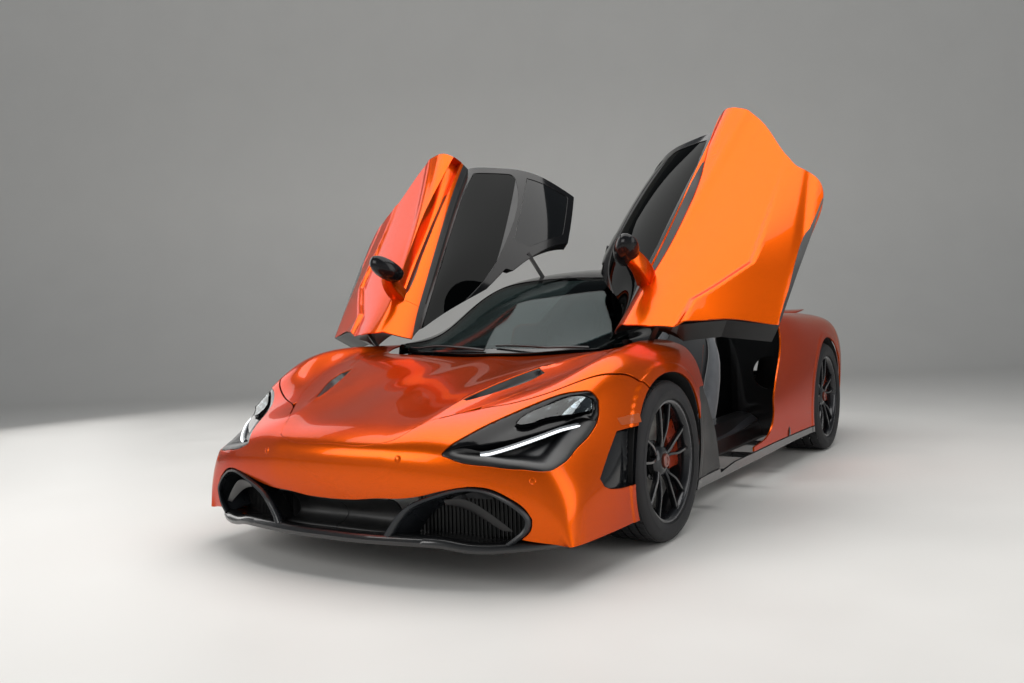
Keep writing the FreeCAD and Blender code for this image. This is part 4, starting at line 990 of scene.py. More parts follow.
def turned_steel():
    """Brake face: fine rings left by turning and by the pads, around the wheel's own axle."""
    material, tree, place = finish_base("brake_disc_turned")
    split = node(tree, "ShaderNodeSeparateXYZ", {"Vector": place})
    front = node(tree, "ShaderNodeMath", {0: split.outputs["Y"], 1: 0.0}, operation="LESS_THAN")
    centre = node(tree, "ShaderNodeMapRange", {"Value": front.outputs[0], "To Min": REAR_AXLE_Y / 1000,
                                               "To Max": FRONT_AXLE_Y / 1000}).outputs["Result"]
    height = node(tree, "ShaderNodeMapRange", {"Value": front.outputs[0], "To Min": REAR_AXLE_Z / 1000,
                                               "To Max": FRONT_AXLE_Z / 1000}).outputs["Result"]
    dy = node(tree, "ShaderNodeMath", {0: split.outputs["Y"], 1: centre}, operation="SUBTRACT")
    dz = node(tree, "ShaderNodeMath", {0: split.outputs["Z"], 1: height}, operation="SUBTRACT")
    ring = node(tree, "ShaderNodeCombineXYZ", {"X": dy.outputs[0], "Y": dz.outputs[0]})
    radius = node(tree, "ShaderNodeVectorMath", {0: ring.outputs[0]}, operation="LENGTH")
    line = node(tree, "ShaderNodeCombineXYZ", {"X": radius.outputs["Value"]})
    grooves = noise(tree, line.outputs[0], 1.5, 4.0).outputs["Fac"]
    shader = surface(tree, Base_Color=tint(tree, grooves, "6d6c6a", "a3a19d"), Metallic=1.0,
                     Roughness=span(tree, grooves, 0.24, 0.42), Normal=bump(tree, grooves, 0.05, 0.5))
    return finish_end(material, tree, shader)


def tyre_rubber():
    """Tyre rubber: dark grey, dull, with moulding grain and faint dust in patches."""
    material, tree, place = finish_base("tyre_rubber")
    dust = noise(tree, place, 70.0, 4.0).outputs["Fac"]
    grain = noise(tree, place, 0.9, 3.0).outputs["Fac"]
    shader = surface(tree, Base_Color=tint(tree, span(tree, dust, 0.0, 0.8), "121214", "232326"),
                     Roughness=span(tree, dust, 0.62, 0.8), Normal=bump(tree, grain, 0.12, 0.5))
    return finish_end(material, tree, shader)


def tinted_glass(name, code, mirror_share):
    """Thin safety glass: lets a green-grey view through and mirrors the room at a low angle."""
    material, tree, place = finish_base(name)
    wave = noise(tree, place, 220.0).outputs["Fac"]
    even = bump(tree, wave, 0.05, 0.08)
    clear = node(tree, "ShaderNodeBsdfTransparent", {"Color": colour(code)}).outputs[0]
    mirror = node(tree, "ShaderNodeBsdfGlossy", {"Color": colour("f4f6f6"), "Roughness": 0.02,
                                                 "Normal": even}).outputs[0]
    rim = node(tree, "ShaderNodeFresnel", {"IOR": 1.5, "Normal": even}).outputs[0]
    amount = node(tree, "ShaderNodeMath", {0: rim, 1: mirror_share}, operation="MULTIPLY")
    shader = node(tree, "ShaderNodeMixShader", {0: amount.outputs[0], 1: clear, 2: mirror}).outputs[0]
    return finish_end(material, tree, shader)


def dark_glass():
    """Privacy glass over black: nearly opaque, only the reflection moves on it."""
    return drifting("window_glass_dark", (260.0, 2.0), ("0a0b0c", "101214"), 0.05,
                    relief=(0.04, 0.1), IOR=1.32)


def lamp_glow(name, code, strength):
    """A lit lamp strip behind a diffuser with small prisms of 3 mm."""
    material, tree, place = finish_base(name)
    prisms = node(tree, "ShaderNodeTexWave", {"Vector": place, "Scale": 52.0}).outputs["Fac"]
    level = node(tree, "ShaderNodeMapRange", {"Value": prisms, "To Min": strength * 0.8,
                                              "To Max": strength}).outputs["Result"]
    shader = surface(tree, Base_Color=code, Roughness=0.3, Emission_Color=code,
                     Emission_Strength=level)
    return finish_end(material, tree, shader)


def red_lens():
    """Tail lamp lens: red plastic over a prism grid."""
    material, tree, place = finish_base("tail_lamp_red")
    cells = node(tree, "ShaderNodeTexVoronoi", {"Vector": place, "Scale": 220.0}).outputs["Distance"]
    shader = surface(tree, Base_Color=tint(tree, cells, "7a0606", "3c0202"), Roughness=0.12,
                     Coat_Weight=1.0, Emission_Color="ff2a18", Emission_Strength=0.25,
                     Normal=bump(tree, cells, 0.3, 0.4))
    return finish_end(material, tree, shader)


def leather(name, code, lighter):
    """Leather: a pebble of about 2 mm with creases between, dull with a soft sheen."""
    material, tree, place = finish_base(name)
    pebble = node(tree, "ShaderNodeTexVoronoi", {"Vector": place, "Scale": 520.0}).outputs["Distance"]
    patches = noise(tree, place, 120.0).outputs["Fac"]
    shader = surface(tree, Base_Color=tint(tree, patches, code, lighter),
                     Roughness=span(tree, patches, 0.5, 0.62), Sheen_Weight=0.15,
                     Normal=bump(tree, pebble, 0.25, 0.5))
    return finish_end(material, tree, shader)


def suede(name, code, lighter):
    """Brushed microfibre: short nap in clouds, no shine but a pale sheen at the edges."""
    return drifting(name, (45.0, 3.0), (code, lighter), 0.92, (0.8, 4.0), (0.2, 0.6),
                    Sheen_Weight=0.5, Sheen_Roughness=0.4)


def chrome():
    """Plated reflector or polished tip: near-mirror with a breath of haze."""
    return drifting("bright_plating", (25.0, 2.0), ("b4b6b8", "d4d6d8"), (0.08, 0.2), Metallic=1.0)


def studio_floor():
    """Pale painted floor and sweep: even, with a barely visible mottling."""
    return drifting("studio_floor_paint", (600.0, 3.0), ("dcdbd8", "e2e1de"), (0.45, 0.6),
                    (3.0, 3.0), (0.05, 0.3))


def body_lift(p):
    """Crest of the bonnet's ridge and the flat lips round the wheel arches, in mm."""
    ridge = np.abs(beyond(p[:, :2], np.array(RIDGE_LINE, float)))
    ends = smoothstep((p[:, 1] + 2010) / 160) * smoothstep((-940 - p[:, 1]) / 160)
    rise = 6.5 * np.exp(-ridge / 16) * ends
    for y, r, z in ((FRONT_AXLE_Y, FRONT_ARCH, FRONT_AXLE_Z), (REAR_AXLE_Y, REAR_ARCH, REAR_AXLE_Z)):
        far = np.hypot(p[:, 1] - y, p[:, 2] - z) - r
        rise += 4.5 * smoothstep((42 - far) / 12) * (p[:, 0] > 700)
    return rise


def door_lift(p):
    """The lower blade's step, the sill fold and the crest above the hollow face, in mm."""
    crease = beyond(p[:, 1:], np.array(DOOR_CREASE, float))
    sill = beyond(p[:, 1:], np.array(SILL_CREASE, float))
    step = 6 + 20 * smoothstep((300 - p[:, 1]) / 800)
    rise = 3 + smoothstep(0.5 - crease / 30) * step * np.exp(-np.abs(crease) / 150)
    rise += 7 * np.exp(-((p[:, 2] - 770) / 26) ** 2)
    return rise - 4 * smoothstep(1 - np.abs(sill) / 40)


def below(z):
    return lambda p: z - p[:, 2]


def above(z):
    return lambda p: p[:, 2] - z


def ahead(y):
    return lambda p: y - p[:, 1]


def behind(y):
    return lambda p: p[:, 1] - y


def outboard(x):
    return lambda p: p[:, 0] - x


def either(*tests):
    """Positive where any test is."""
    return lambda p: np.max([t(p) for t in tests], axis=0)


def every(*tests):
    """Positive where all tests are."""
    return lambda p: np.min([t(p) for t in tests], axis=0)


def line_side(line, view, gap, side=1):
    """Positive on the right-hand side of an open line, or on its left for side -1."""
    ring = flow(line, closed=False)
    return lambda p: side * beyond(p[:, AXES[view]], ring) - gap


HALF_GAP = SHUT_GAP / 2
FRONT_HOLE = arch_of(FRONT_AXLE_Y, FRONT_AXLE_Z, FRONT_ARCH)
REAR_HOLE = arch_of(REAR_AXLE_Y, REAR_AXLE_Z, REAR_ARCH)


def door_place(p):
    """Positive where the closed door is."""
    return np.minimum(inside_of(DOOR_SIDE, "side")(p), -shield_of(p) - SHUT_GAP)


def beside_door(p):
    """Positive where the fixed skin is, a shut line away from the door."""
    return np.maximum(-inside_of(DOOR_SIDE, "side")(p) - SHUT_GAP, shield_of(p))


def paint_panels(look):
    """The painted panels of the fixed body."""
    paint = car_paint()
    skin = Skin(BODY, BODY_HALF, look.mesh_step, body_lift)
    thick, roll = look.panel_thickness, look.panel_roll
    outside_bonnet = either(outside_of(both(BONNET), "top", -HALF_GAP), below(NOSE_FLOOR))
    outside_lamp = either(outside_of(LAMP, "top"), below(200))
    outside_vent = outside_of(SIDE_VENT, "side")
    bonnet = panel(skin, [inside_of(both(BONNET), "top", -HALF_GAP), above(NOSE_FLOOR),
                          outside_of(BONNET_VENT, "top")], thick, roll, centre=True)
    make_piece("bonnet_panel", bonnet, paint, "bonnet", ["bonnet"], "paint")
    seam = [(-800, -2060)] + FENDER_SEAM
    nose = panel(skin, [line_side(seam, "top", HALF_GAP), ahead(-1360), outside_bonnet,
                        outside_lamp, outside_vent, FRONT_HOLE,
                        either(outside_of(PAINTED_MOUTH, "front"), behind(-1880))],
                 thick, roll, centre=True)
    make_piece("front_bumper_panel", nose, paint, "chassis", ["front_bumper"], "paint")
    jamb = every(behind(-925), below(600))
    fender_part = [line_side(FENDER_SEAM, "top", HALF_GAP, -1), ahead(-480), FRONT_HOLE,
                   outside_bonnet, outside_lamp, outside_vent, outside_of(BONNET_VENT, "top"),
                   above(SILL_Z), beside_door,
                   either(outside_of(both(HOUSE_FOOT), "top"), below(DECK_FLOOR)), outboard(480)]
    fender = panel(skin, fender_part + [lambda p: -jamb(p)], thick, roll)
    cover = panel(skin, fender_part + [jamb], thick, roll, sunk=3.0)
    make_piece("door_jamb_covers", pair(cover),
               satin_plastic("jamb_satin_black", "0c0c0d", "151516"))
    make_piece("front_fender_panels", pair(fender), paint, "chassis",
               ["front_fenders"], "paint")
    off_roof = either(outside_of(both(HOUSE_FOOT), "top"), below(DECK_FLOOR))
    off_deck = either(outside_of(both(DECK), "top"), below(DECK_FLOOR))
    quarter = panel(skin, [behind(-100), line_side(REAR_SEAM, "top", HALF_GAP), REAR_HOLE,
                           off_roof, off_deck, beside_door, either(above(SILL_Z), behind(1150)),
                           outboard(560)],
                    thick, roll)
    make_piece("rear_quarter_panels", pair(quarter), paint, "chassis",
               ["rear_quarters"], "paint")
    tail = panel(skin, [either(line_side(REAR_SEAM, "top", HALF_GAP, -1),
                               every(behind(1925), lambda p: 640 - p[:, 0])), off_deck, REAR_HOLE,
                        behind(1700)], thick, roll, centre=True)
    make_piece("rear_deck_panel", tail, paint, "chassis", ["rear_deck"], "paint")
    skirt = panel(skin, [behind(-1000), ahead(1150), below(SILL_Z - SHUT_GAP), FRONT_HOLE, REAR_HOLE,
                         lambda p: beside_door(p) - 4], thick, roll)
    make_piece("side_skirt_blades", pair(skirt), carbon(), "chassis",
               ["side_skirts"], "carbon")
    cover = panel(skin, [inside_of(both(DECK), "top", -SHUT_GAP), off_roof,
                         above(DECK_FLOOR)], thick, roll, centre=True)
    make_piece("engine_cover_panel", cover, gloss_black(), "chassis", ["engine_cover"], "black_gloss")
    return skin, paint


def glasshouse():
    """Fixed glass with its black frame, spine and hoop."""
    skin = Skin(HOUSE, HOUSE_HALF, 6.0)
    gloss = gloss_black("roof_frame_gloss_black")
    away_from_door = either(outside_of(DOOR_TOP, "top", 18, sharp=True),
                            lambda p: shield_of(p) - 6)
    frame = panel(skin, [away_from_door, outside_of(both(SCREEN), "top"),
                         outside_of(both(REAR_SCREEN), "top"), outside_of(QUARTER_GLASS, "top"),
                         either(inside_of(both(HOUSE_FOOT), "top", 3), behind(-900))],
                  20, 3.0, centre=True)
    make_piece("roof_frame_gloss", frame, gloss, "chassis", ["roof_frame"], "black_gloss")
    band = 38.0
    screen = panel(skin, [inside_of(both(SCREEN), "top", -1.0)], 5, 1.0, sunk=4.0, centre=True)
    make_piece("windscreen_pane", screen, tinted_glass("windscreen_glass", "7d8a8a", 0.26),
               "chassis", ["windscreen"], "screen_glass")
    frit = panel(skin, [inside_of(both(SCREEN), "top", -1.0),
                        either(outside_of(both(SCREEN), "top", band),
                               lambda p: -1020 - p[:, 1])], 1.2, 0.4, sunk=9.6, centre=True)
    make_piece("windscreen_frit", frit, satin_plastic("ceramic_frit_black", "050506", "0a0a0b", 0.3))
    rear = panel(skin, [inside_of(both(REAR_SCREEN), "top", -1.0)], 5, 1.0, sunk=4.0, centre=True)
    pane = panel(skin, [inside_of(QUARTER_GLASS, "top", -1.0)], 5, 1.0, sunk=4.0)
    make_piece("rear_panes", joined([rear, pane, mirrored(pane)]),
               tinted_glass("rear_glass", "3c4242", 0.3), "chassis", ["rear_windows"], "screen_glass")
    wipers = []
    for a, b in (((-60, -1085), (-560, -1015)), ((480, -1088), (-10, -1055))):
        line = []
        for s in np.linspace(0, 1, 9):
            p, n = skin.drop(abs(a[0] + (b[0] - a[0]) * s), a[1] + (b[1] - a[1]) * s)
            p = p * [np.sign(a[0] + (b[0] - a[0]) * s) or 1, 1, 1]
            line.append(p + n * [np.sign(p[0]) or 1, 1, 1] * (9 + 10 * math.sin(math.pi * s)))
        wipers.append(bar(line, np.linspace(14, 7, 9), 9, [0, -0.4, 0.9], 0.4))
    crisp_piece("wiper_arms", joined(wipers), satin_plastic("wiper_satin_black"), angle=40)
    return skin


REPLACED = {"door_panes": "door_glass_", "mirror_head": "mirror_"}


def door_pieces(look, house, paint):
    """Both doors: painted skins, belt channel, window frame and glass, mirrors."""
    skin = Skin(BODY, BODY_HALF, look.mesh_step, door_lift)
    blade_line = line_side(BELT_BLADE, "top", 0)
    lower = panel(skin, [door_place, either(blade_line, below(BELT_FLOOR), ahead(BELT_START)),
                         either(outside_of(HOUSE_FOOT, "top", 8), below(BELT_FLOOR)),
                         outboard(DOOR_INNER)], 6, 2.0)
    strip = panel(skin, [door_place, every(line_side(BELT_STRIP, "top", 0, -1),
                                           outside_of(HOUSE_FOOT, "top", 8)), behind(BELT_START),
                         above(BELT_FLOOR), outboard(DOOR_INNER)], 6, 1.6)
    channel = panel(skin, [door_place, every(line_side(BELT_BLADE, "top", -4, -1),
                                             line_side(BELT_STRIP, "top", -4)), behind(BELT_START - 3),
                           above(BELT_FLOOR), outboard(DOOR_INNER)], 2.0, 0.5, sunk=51.0)
    lining = curtain(skin, [door_place, every(line_side(BELT_BLADE, "top", 0, -1),
                                              line_side(BELT_STRIP, "top", 0)), behind(BELT_START),
                            above(BELT_FLOOR), outboard(DOOR_INNER)], -2.5, 53)
    stalk = slab([(822, 752), (905, 768), (990, 838), (1012, 890), (975, 905), (922, 858),
                  (834, 820)], "y", -648, -577, 10, smooth=True)
    angles = np.linspace(0.06, math.pi - 0.06, 22)
    head = []
    for a in angles:
        r = math.sin(a) ** 0.8
        around = np.linspace(0, 2 * math.pi, 40, endpoint=False)
        y = np.where(np.sin(around) > 0, 24, 66) * np.sin(around) * r
        head.append(np.stack([np.full(40, 1008 - 97 * math.cos(a)), -600 + y,
                              908 + 58 * np.cos(around) * r], 1))
    head = loft(head)
    doors = [("door_skin", joined([lower, strip]), paint, "paint"),
             ("door_channel", channel, paint, None)]
    off_glass = every(outside_of(SIDE_GLASS, "top"), outside_of(ROOF_GLASS, "top"))
    roof_part = every(inside_of(DOOR_TOP, "top", 0, sharp=True), lambda p: -shield_of(p) - SHUT_GAP)
    frame = panel(house, [roof_part, off_glass], 6, 2.0, sunk=-2.5)
    doors.append(("door_window_frame", frame, gloss_black("door_frame_gloss_black"), "black_gloss"))
    side = panel(house, [roof_part, inside_of(SIDE_GLASS, "top", -1)], 4, 1.0, sunk=1.0)
    top = panel(house, [roof_part, inside_of(ROOF_GLASS, "top", -1)], 4, 1.0, sunk=1.0)
    glass = tinted_glass("door_glass", "23282a", 0.22)
    doors.append(("door_panes", side, glass, "screen_glass"))
    doors.append(("door_roof_panes", top, dark_glass(), "screen_glass"))
    doors += [("door_channel_walls", lining, paint, None),
              ("mirror_stalk", stalk, paint, "paint"),
              ("mirror_head", head, gloss_black("mirror_shell_grey", "1b1d20"), "mirror_cap")]
    for name, shape, finish, slot in doors:
        for hand, turn in (("left", lambda s: s), ("right", mirrored)):
            stands = [REPLACED[name] + hand] if name in REPLACED else ()
            make = make_piece if "n" in shape else crisp_piece
            make(f"{name}_{hand}", turn(turned(shape)), finish, "door_" + hand, stands, slot)


def ring_tree():
    """Node group that sets copies of a mesh round an axle, then makes them real."""
    tree = bpy.data.node_groups.new("ring_of_copies", "GeometryNodeTree")
    face = tree.interface
    for name, kind in (("Pattern", "NodeSocketGeometry"), ("Copies", "NodeSocketInt"),
                       ("Axle", "NodeSocketVector"), ("Jitter", "NodeSocketFloat"),
                       ("Seed", "NodeSocketInt"), ("Finish", "NodeSocketMaterial")):
        face.new_socket(name, in_out="INPUT", socket_type=kind)
    face.new_socket("Ring", in_out="OUTPUT", socket_type="NodeSocketGeometry")
    start = node(tree, "NodeGroupInput")
    points = node(tree, "GeometryNodeMeshLine", {"Count": start.outputs["Copies"],
                                                 "Start Location": start.outputs["Axle"],
                                                 "Offset": (0.0, 0.0, 0.0)})
    share = node(tree, "ShaderNodeMath", {0: 2 * math.pi, 1: start.outputs["Copies"]},
                 operation="DIVIDE")
    index = node(tree, "GeometryNodeInputIndex")
    chance = node(tree, "FunctionNodeRandomValue", {"Seed": start.outputs["Seed"]}, data_type="FLOAT")
    wander = node(tree, "ShaderNodeMath", {0: chance.outputs[1], 1: start.outputs["Jitter"]},
                  operation="MULTIPLY")
    place = node(tree, "ShaderNodeMath", {0: index.outputs[0], 1: wander.outputs[0]},
                 operation="ADD")
    angle = node(tree, "ShaderNodeMath", {0: place.outputs[0], 1: share.outputs[0]},
                 operation="MULTIPLY")
    turn = node(tree, "ShaderNodeCombineXYZ", {"X": angle.outputs[0]})
    copies = node(tree, "GeometryNodeInstanceOnPoints", {"Points": points.outputs["Mesh"],
                                                         "Instance": start.outputs["Pattern"],
                                                         "Rotation": turn.outputs[0]})
    real = node(tree, "GeometryNodeRealizeInstances", {"Geometry": copies.outputs["Instances"]})
    made = node(tree, "GeometryNodeSetMaterial", {"Geometry": real.outputs["Geometry"],
                                                  "Material": start.outputs["Finish"]})
    node(tree, "NodeGroupOutput", {"Ring": made.outputs["Geometry"]})
    return tree


def spread_by_nodes(name, shape, tree, finish, body, stands_for=(), angle=32.0, slot=None, **inputs):
    """A mesh that a node group has repeated, made plain, as a piece of its own."""
    pattern = mesh_of(name, shape["p"], shape["f"])
    pattern.validate()
    holder = linked(name, pattern, finish)
    modifier = holder.modifiers.new("repeat", "NODES")
    modifier.node_group = tree
    sockets = {item.name: item.identifier for item in tree.interface.items_tree
               if item.in_out == "INPUT"}
    for key, value in inputs.items():
        modifier[sockets[key]] = value
    modifier[sockets["Finish"]] = finish
    holder.update_tag()
    bpy.context.view_layer.update()
    graph = bpy.context.evaluated_depsgraph_get()
    mesh = bpy.data.meshes.new_from_object(holder.evaluated_get(graph), depsgraph=graph)
    holder.modifiers.remove(modifier)
    holder.data = mesh
    bpy.data.meshes.remove(pattern)
    mesh.name = name
    mesh.materials.clear()
    mesh.materials.append(finish)
    soften(mesh, angle)
    settle(holder, body, stands_for)


# Track half, axle y, axle height and tyre radius, tyre width, and radius of the rim's lip
WHEELS = {"front": (837.0, FRONT_AXLE_Y, FRONT_AXLE_Z, 245.0, 250.0),
          "rear": (814.5, REAR_AXLE_Y, REAR_AXLE_Z, 300.0, 263.0)}
SHOULDER = 26.0
ORIGIN = (0, 0, 0)


def tread_block(radius, half, rows, deep, pitch):
    """One pitch of the tread: a slanted block in each row between the grooves."""
    blocks = []
    edges = np.linspace(-half + SHOULDER, half - SHOULDER, rows + 1)
    for i in range(rows):
        a, b = edges[i] + 4, edges[i + 1] - 4
        lean = 9 * (1 if i < rows / 2 else -1) * (0 if i == rows // 2 and rows % 2 else 1)
        w = pitch / 2 - 1.6
        corner = [(a, -w + lean * (a - edges[i]) / 40), (b, -w + lean), (b, w + lean),
                  (a, w + lean * (a - edges[i]) / 40)]
        top = slab(corner, "z", radius - deep - 2, radius, 1.2)
        blocks.append(top)
    return joined(blocks)


def spoke_pair(lip, face, hub):
    """A spoke that forks from the hub into two thin arms up to the rim's lip."""
    parts = []
    for side in (-1, 1):
        line = [(face - 34, side * 6, hub - 18), (face - 22, side * 10, hub + 22),
                (face - 13, side * 26, 120), (face - 7, side * 44, lip - 48),
                (face - 6, side * 53, lip - 13)]
        width = np.interp(np.linspace(0, 1, 33), [0, 0.3, 1], [17, 12.5, 13])
        depth = np.interp(np.linspace(0, 1, 33), [0, 0.3, 1], [30, 24, 22])
        curve = bend(line)
        parts.append(bar(curve - [11, 0, 0], width, depth, [1, 0, 0], 0.3))
    return joined(parts)


def wheel_pieces(look):
    """Tyres with tread, thin-spoke rims, brake discs and bells."""
    tree = ring_tree()
    rubber, dark = tyre_rubber(), lacquered_metal("rim_dark_gloss", "1c1d20", "26272b", 0.22)
    # Lighter grey for a thin ring at each rim's lip: a painted highlight along the lip's edge
    rim_lip_highlight = lacquered_metal("rim_lip_painted_highlight", "3a3b3e", "4a4b4f", 0.25)
    steel, cap = turned_steel(), lacquered_metal("hub_cap_copper", "6b2f22", "7d3a2a", 0.3)
    for end, (x, y, r, width, lip) in WHEELS.items():
        half = width / 2
        deep = look.tread_depth
        pitches = look.tread_pitches
        pitch = 2 * math.pi * r / pitches
        carcass = [(-half + 16, lip - 6), (-half + 4, lip + 2), (-half + 0.5, lip + 22),
                   (-half + 1, r - 42), (-half + 6, r - 20), (-half + 15, r - 9),
                   (-half + 27, r - 3), (-half + 29, r - deep)]
        other = [(half - 29, r - deep), (half - 27, r - 3), (half - 15, r - 9), (half - 6, r - 20),
                 (half - 1, r - 40), (half - 0.8, r - 38), (half - 0.5, lip + 24),
                 (half - 2.5, lip + 14), (half - 6, lip + 8), (half - 7, lip + 3), (half - 16, lip + 1),
                 (half - 20, lip - 6)]
        block = tread_block(r, half, 5, deep, pitch)
        barrel = [(-half + 14, lip - 6), (-half + 14, lip - 24), (half - 60, lip - 26),
                  (half - 34, lip - 24), (half - 22, lip - 16), (half - 17, lip - 11),
                  (half - 15, lip - 5), (half - 16, lip - 1), (half - 19, lip - 0.5),
                  (half - 22, lip - 6)]
        hub_face = half - 32
        hub = [(half - 86, 0.2), (half - 86, 68), (half - 60, 68), (half - 48, 60), (hub_face - 8, 46),
               (hub_face - 5, 40), (hub_face - 5, 33), (hub_face - 9, 31), (hub_face - 9, 0.2)]
        nut = [(hub_face - 10, 0.2), (hub_face - 10, 30), (hub_face + 2, 29), (hub_face + 5, 26),
               (hub_face + 5, 17), (hub_face + 2, 14), (hub_face + 2, 0.2)]
        disc = closed_lathe([(half - 124.6, 82), (half - 124.6, lip - 53), (half - 123.6, lip - 52.2),
                             (half - 94.5, lip - 52.2), (half - 93.5, lip - 53), (half - 93.5, 82)],
                            ORIGIN, 96)
        bell = lathe([(half - 124, 23), (half - 124, 84), (half - 90, 82), (half - 87.6, 78),
                      (half - 87.6, 23)], ORIGIN, 64)
        spoke = spoke_pair(lip, half - 21, 58)
        for hand, sign in (("left", 1), ("right", -1)):
            place = f"{end}_{hand}"
            wheel, axle = "wheel_" + place, np.array([sign * x, y, r])

            def set_in(shape, sign=sign, axle=axle):
                return moved(shape if sign > 0 else mirrored(shape), axle)

            side = set_in(joined([lathe(carcass, ORIGIN, 120), lathe(other, ORIGIN, 120)]))
            crisp_piece("tyre_walls_" + place, side, rubber, wheel, ["tyre_" + place], "tyre")
            spread_by_nodes("tyre_tread_" + place, block if sign > 0 else mirrored(block), tree,
                            rubber, wheel, Copies=pitches, Axle=tuple(axle / 1000), Jitter=0.12,
                            Seed=7, slot="tyre")
            rim = set_in(joined([closed_lathe(barrel, ORIGIN, 120), lathe(hub, ORIGIN, 64)]))
            crisp_piece("rim_barrel_" + place, rim, dark, wheel, ["rim_" + place], "rim_black")
            spread_by_nodes("rim_spokes_" + place, spoke if sign > 0 else mirrored(spoke), tree,
                            dark, wheel, Copies=look.spoke_pairs, Axle=tuple(axle / 1000),
                            Jitter=0.0, Seed=0)
            # Thin lighter ring round the rim's lip: painted highlight standing for the light caught by the
            # edge
            edge = lathe([(half - 17, lip - 12), (half - 14.6, lip - 6), (half - 15, lip - 2),
                          (half - 15.6, lip - 2.4), (half - 15.8, lip - 6)], ORIGIN, 120)
            crisp_piece("rim_edge_" + place, set_in(edge), rim_lip_highlight, wheel)
            crisp_piece("hub_nut_" + place, set_in(lathe(nut, ORIGIN, 48)), cap, wheel)
            crisp_piece("brake_disc_" + place, set_in(disc), steel, wheel, ["disc_" + place], "disc_iron")
            crisp_piece("brake_bell_" + place, set_in(bell), dark, wheel)


def front_details():
    """Headlamps, side vents, lower intakes, splitter and bonnet vents."""
    skin = built["skin"]
    black, gloss = satin_plastic("lamp_socket_satin", "08080a", "101113", 0.35), gloss_black()
    grey = gloss_black("flap_gloss_grey", "17191c")
    in_lamp = inside_of(LAMP, "top", -1.0)

    def socket_depth(p):
        return 5 + 55 * smoothstep(in_lamp(p) / 60)

    def shelf_depth(p):
        return 5 + 16 * smoothstep(in_lamp(p) / 60)

    low = [above(200)]
    upper = line_side(LAMP_SHELF, "top", 0, -1)
    socket = panel(skin, [in_lamp] + low, 2, 0.5, sunk=socket_depth)
    shelf = panel(skin, [in_lamp, upper, outside_of(LAMP_LENS, "top", 2)] + low, 30, 2.0,
                  sunk=shelf_depth)
    crisp_piece("headlamp_sockets", pair(socket), black, "chassis",
                ["headlamps"], "lamp", 50)
    crisp_piece("headlamp_shelves", pair(shelf), gloss, angle=50)
    bowl_bed = panel(skin, [inside_of(LAMP_LENS, "top", -1)] + low, 4, 0.5, sunk=30)
    rim = curtain(skin, [inside_of(LAMP_LENS, "top", -1)] + low, 3, 30)
    crisp_piece("lamp_cluster_beds", joined([pair(plain_shape(bowl_bed)), pair(rim)]), gloss, angle=50)
    lens = panel(skin, [inside_of(LAMP_LENS, "top", -2)] + low, 3, 1.0, sunk=5.0)
    make_piece("lamp_cluster_lenses", pair(lens),
               tinted_glass("lamp_lens_clear", "dfe5e8", 1.0))
    bowls, bulbs = [], []
    for x, y, r in ((700, -1925, 24), (752, -1868, 27), (806, -1802, 24)):
        p, n = skin.drop(x, y)
        turn = facing_frame(n)
        bowls.append(placed(lathe([(-26, 0.2), (-25, r * 0.35), (-17, r * 0.75), (-7, r), (-9, r + 2)],
                                  ORIGIN, 40), p, turn))
        bulbs.append(placed(lathe([(-26, r * 0.42), (-18, r * 0.4), (-13, r * 0.25), (-12, 0.2)],
                                  ORIGIN, 32), p, turn))
    bowls, bulbs = joined(bowls), joined(bulbs)
    crisp_piece("lamp_bowls", pair(bowls), chrome(), angle=40)
    crisp_piece("lamp_bulbs", pair(bulbs), lamp_glow("lamp_projector", "dce6f0", 0.6),
                angle=40)
    line = [skin.drop(x, y) for x, y in flow([(606, -2131), (638, -2108), (757, -1975), (820, -1885),
                                             (852, -1822)], closed=False, steps=10)]
    way = np.array([p - n * 26 for p, n in line])
    ups = np.array([n for p, n in line])
    lit = bar(way, 7.0, 9.0, ups, 0.4)
    holder = bar(way - ups * 4 + np.array([-5, 6, 4]), 16.0, 14.0, ups, 0.3)
    crisp_piece("daytime_strips", pair(lit), lamp_glow("lamp_strip_white", "f2f6fa", 1.4), angle=40)
    crisp_piece("daytime_strip_holders", pair(holder),
                satin_plastic("lamp_holder_silver", "5d6165", "71757a", 0.3), angle=40)

    in_vent = inside_of(SIDE_VENT, "side", -1)

    def vent_depth(p):
        return 4 + 34 * smoothstep((p[:, 1] + 1860) / 320)

    flap = panel(skin, [in_vent, outside_of(LAMP, "top", 4), FRONT_HOLE, outboard(600)], 3, 1.0,
                 sunk=vent_depth)
    wall = curtain(skin, [in_vent, outside_of(LAMP, "top", 4), FRONT_HOLE, outboard(600)], 3, 42)
    crisp_piece("side_vent_flaps", joined([pair(flap), pair(wall)]), grey,
                "chassis", ["side_intakes"], "black_gloss", 50)
    marker = panel(skin, [inside_of([(-1665, 520), (-1556, 520), (-1556, 555), (-1672, 545)], "side"),
                          outboard(700)], 6, 1.5, sunk=-1.5)
    make_piece("marker_lamps", pair(marker),
               lamp_glow("marker_amber", "a8480a", 0.05))

    hood_vent = inside_of(BONNET_VENT, "top", -1)
    floor = panel(skin, [hood_vent], 2, 0.5, sunk=lambda p: 4 + 26 * smoothstep(hood_vent(p) / 22))
    crisp_piece("bonnet_vent_floors", pair(floor), black, "bonnet", angle=50)
    nose_pieces(skin)


INTAKE_RING = [(262, -2240, 156), (286, -2232, 195), (317, -2228, 236), (370, -2219, 281),
               (440, -2205, 312), (514, -2187, 336), (584, -2166, 348), (651, -2143, 338),
               (708, -2122, 309), (752, -2104, 275), (772, -2094, 244), (762, -2096, 208),
               (733, -2108, 180), (700, -2118, 156)]


